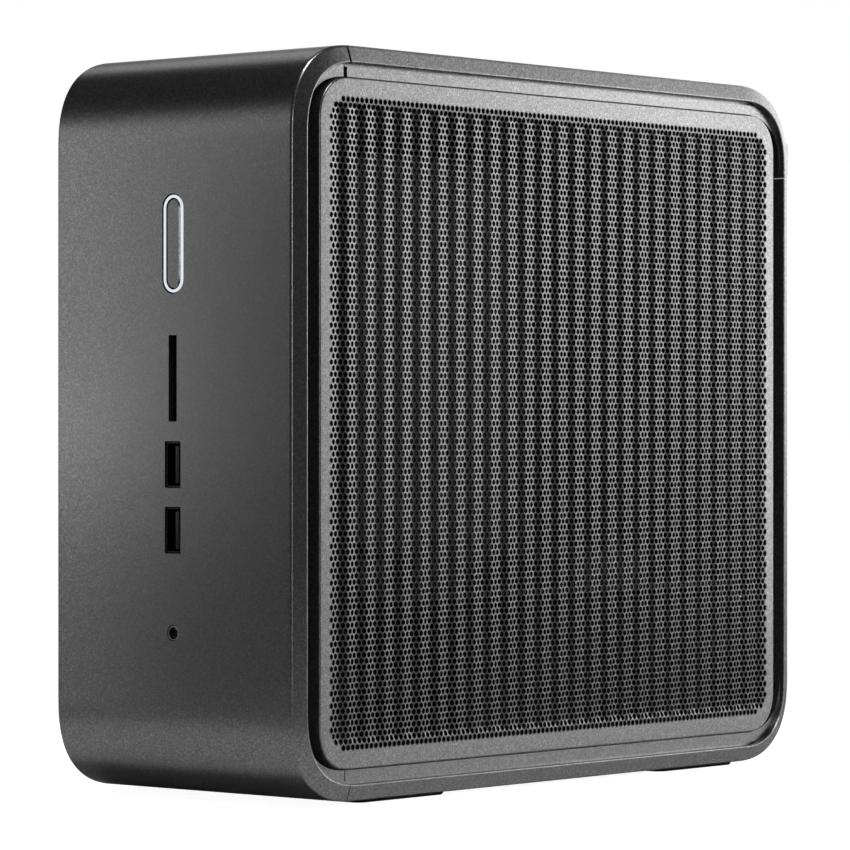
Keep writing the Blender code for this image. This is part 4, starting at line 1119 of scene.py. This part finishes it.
def make_stage():
    bm = bmesh.new()
    bmesh.ops.create_grid(bm, x_segments=1, y_segments=1, size=20.0)
    floor = bpy.data.objects.new("floor", mesh_of(bm, "floor"))
    bpy.context.scene.collection.objects.link(floor)
    look = Nodes("floor_look", (0.8, 0.8, 0.8), 0.9)
    # The floor's colour darkens with distance from the object: a painted pool of light round it, which shows
    # mostly in reflections.
    distance = look.add("ShaderNodeVectorMath", operation="LENGTH")
    look.link(look.place, distance.inputs[0])
    look.colour(distance.outputs["Value"], [(0.17, 0.45), (0.32, 0.06)])
    look.set("Emission Color", (1.0, 1.0, 1.0, 1.0))
    look.roughness(look.noise(4.0), [(0.3, 0.85), (0.7, 0.95)])
    glow = look.add("ShaderNodeMath", operation="MULTIPLY")
    glow.inputs[1].default_value = 0.95
    look.link(look.add("ShaderNodeLightPath").outputs["Is Camera Ray"], glow.inputs[0])
    look.link(glow.outputs[0], look.shader.inputs["Emission Strength"])
    floor.data.materials.append(look.material)
    make_world()
    bpy.context.scene.view_settings.view_transform = "Standard"
    area_light("left_softbox", (-0.30, -0.33, 0.18), (-0.02, -0.12, 0.15), (0.16, 0.20), 0.09)
    area_light("low_left_softbox", (-0.20, -0.27, 0.06), (-0.04, -0.12, 0.05), (0.05, 0.12), 0.009)
    area_light("upper_left_softbox", (-0.17, -0.38, 0.26), (0.02, -0.12, 0.19), (0.12, 0.10), 0.015)
    area_light("top_left_softbox", (-0.62, 0.32, 0.80), (0.0, 0.0, 0.2), (0.35, 0.35), 0.25)
    area_light("rear_right_softbox", (0.36, 0.50, 0.16), (0.05, 0.10, 0.14), (0.2, 0.3), 0.3)
    area_light("front_right_softbox", (0.70, -0.80, 0.28), (0.0, 0.0, 0.12), (0.2, 0.35), 0.8)
    area_light("overhead_softbox", (0.32, -0.20, 0.95), (0.0, 0.0, 0.15), (0.3, 0.3), 4.0)
    lamp = area_light("floor_softbox", (0.0, 0.0, 2.0), (0.0, 0.0, 0.0), (3.0, 3.0), 8.0)
    lit = bpy.data.collections.new("lit_floor")
    lit.objects.link(floor)
    lamp.light_linking.receiver_collection = lit


def make_world():
    """White where the camera sees it. In reflections, a white wall behind the object and dark elsewhere."""
    world = bpy.data.worlds.new("studio")
    world.use_nodes = True
    tree = world.node_tree
    add, link = tree.nodes.new, tree.links.new
    background = tree.nodes["Background"]
    toward_rear = add("ShaderNodeVectorMath")
    toward_rear.operation = "DOT_PRODUCT"
    toward_rear.inputs[1].default_value = (0.0, 1.0, -0.3)
    link(add("ShaderNodeTexCoord").outputs["Generated"], toward_rear.inputs[0])
    wall = add("ShaderNodeMapRange")
    wall.interpolation_type = "SMOOTHSTEP"
    wall.inputs["From Min"].default_value = 0.5
    wall.inputs["From Max"].default_value = 0.84
    wall.inputs["To Min"].default_value = 0.02
    wall.inputs["To Max"].default_value = 2.4
    link(toward_rear.outputs["Value"], wall.inputs["Value"])
    mix = add("ShaderNodeMix")
    mix.data_type = "FLOAT"
    mix.inputs["B"].default_value = 1.0
    link(wall.outputs["Result"], mix.inputs["A"])
    link(add("ShaderNodeLightPath").outputs["Is Camera Ray"], mix.inputs["Factor"])
    link(mix.outputs["Result"], background.inputs["Strength"])
    background.inputs["Color"].default_value = (1, 1, 1, 1)
    bpy.context.scene.world = world


def make_camera():
    camera = bpy.data.cameras.new("camera")
    camera.lens = 178.6
    camera.sensor_width = 36.0
    camera.shift_y = -0.0019
    camera.clip_start, camera.clip_end = 0.05, 30.0
    holder = bpy.data.objects.new("camera", camera)
    holder.location = (0.8379, -0.9934, 0.1086)
    holder.rotation_euler = (math.radians(90), 0.0, math.radians(40.38))
    bpy.context.scene.collection.objects.link(holder)
    bpy.context.scene.camera = holder


dress_cad_nodes()
make_bezel()
make_base()
make_lid()
make_button()
for LABEL, SIDE_SIGN in (("right", 1), ("left", -1)):
    make_side_panel(LABEL, SIDE_SIGN)
    make_thumbscrew(LABEL, SIDE_SIGN)
for LABEL, HEIGHT_Z in zip(("lower", "upper"), USB_Z, strict=True):
    make_front_usb(LABEL, HEIGHT_Z)
make_front_audio()
make_rear_contacts()
make_inlet_pins()
make_feet()
make_rotors()
make_shade_seals()
make_fan_guard()
make_top_grille()
make_stage()
make_camera()
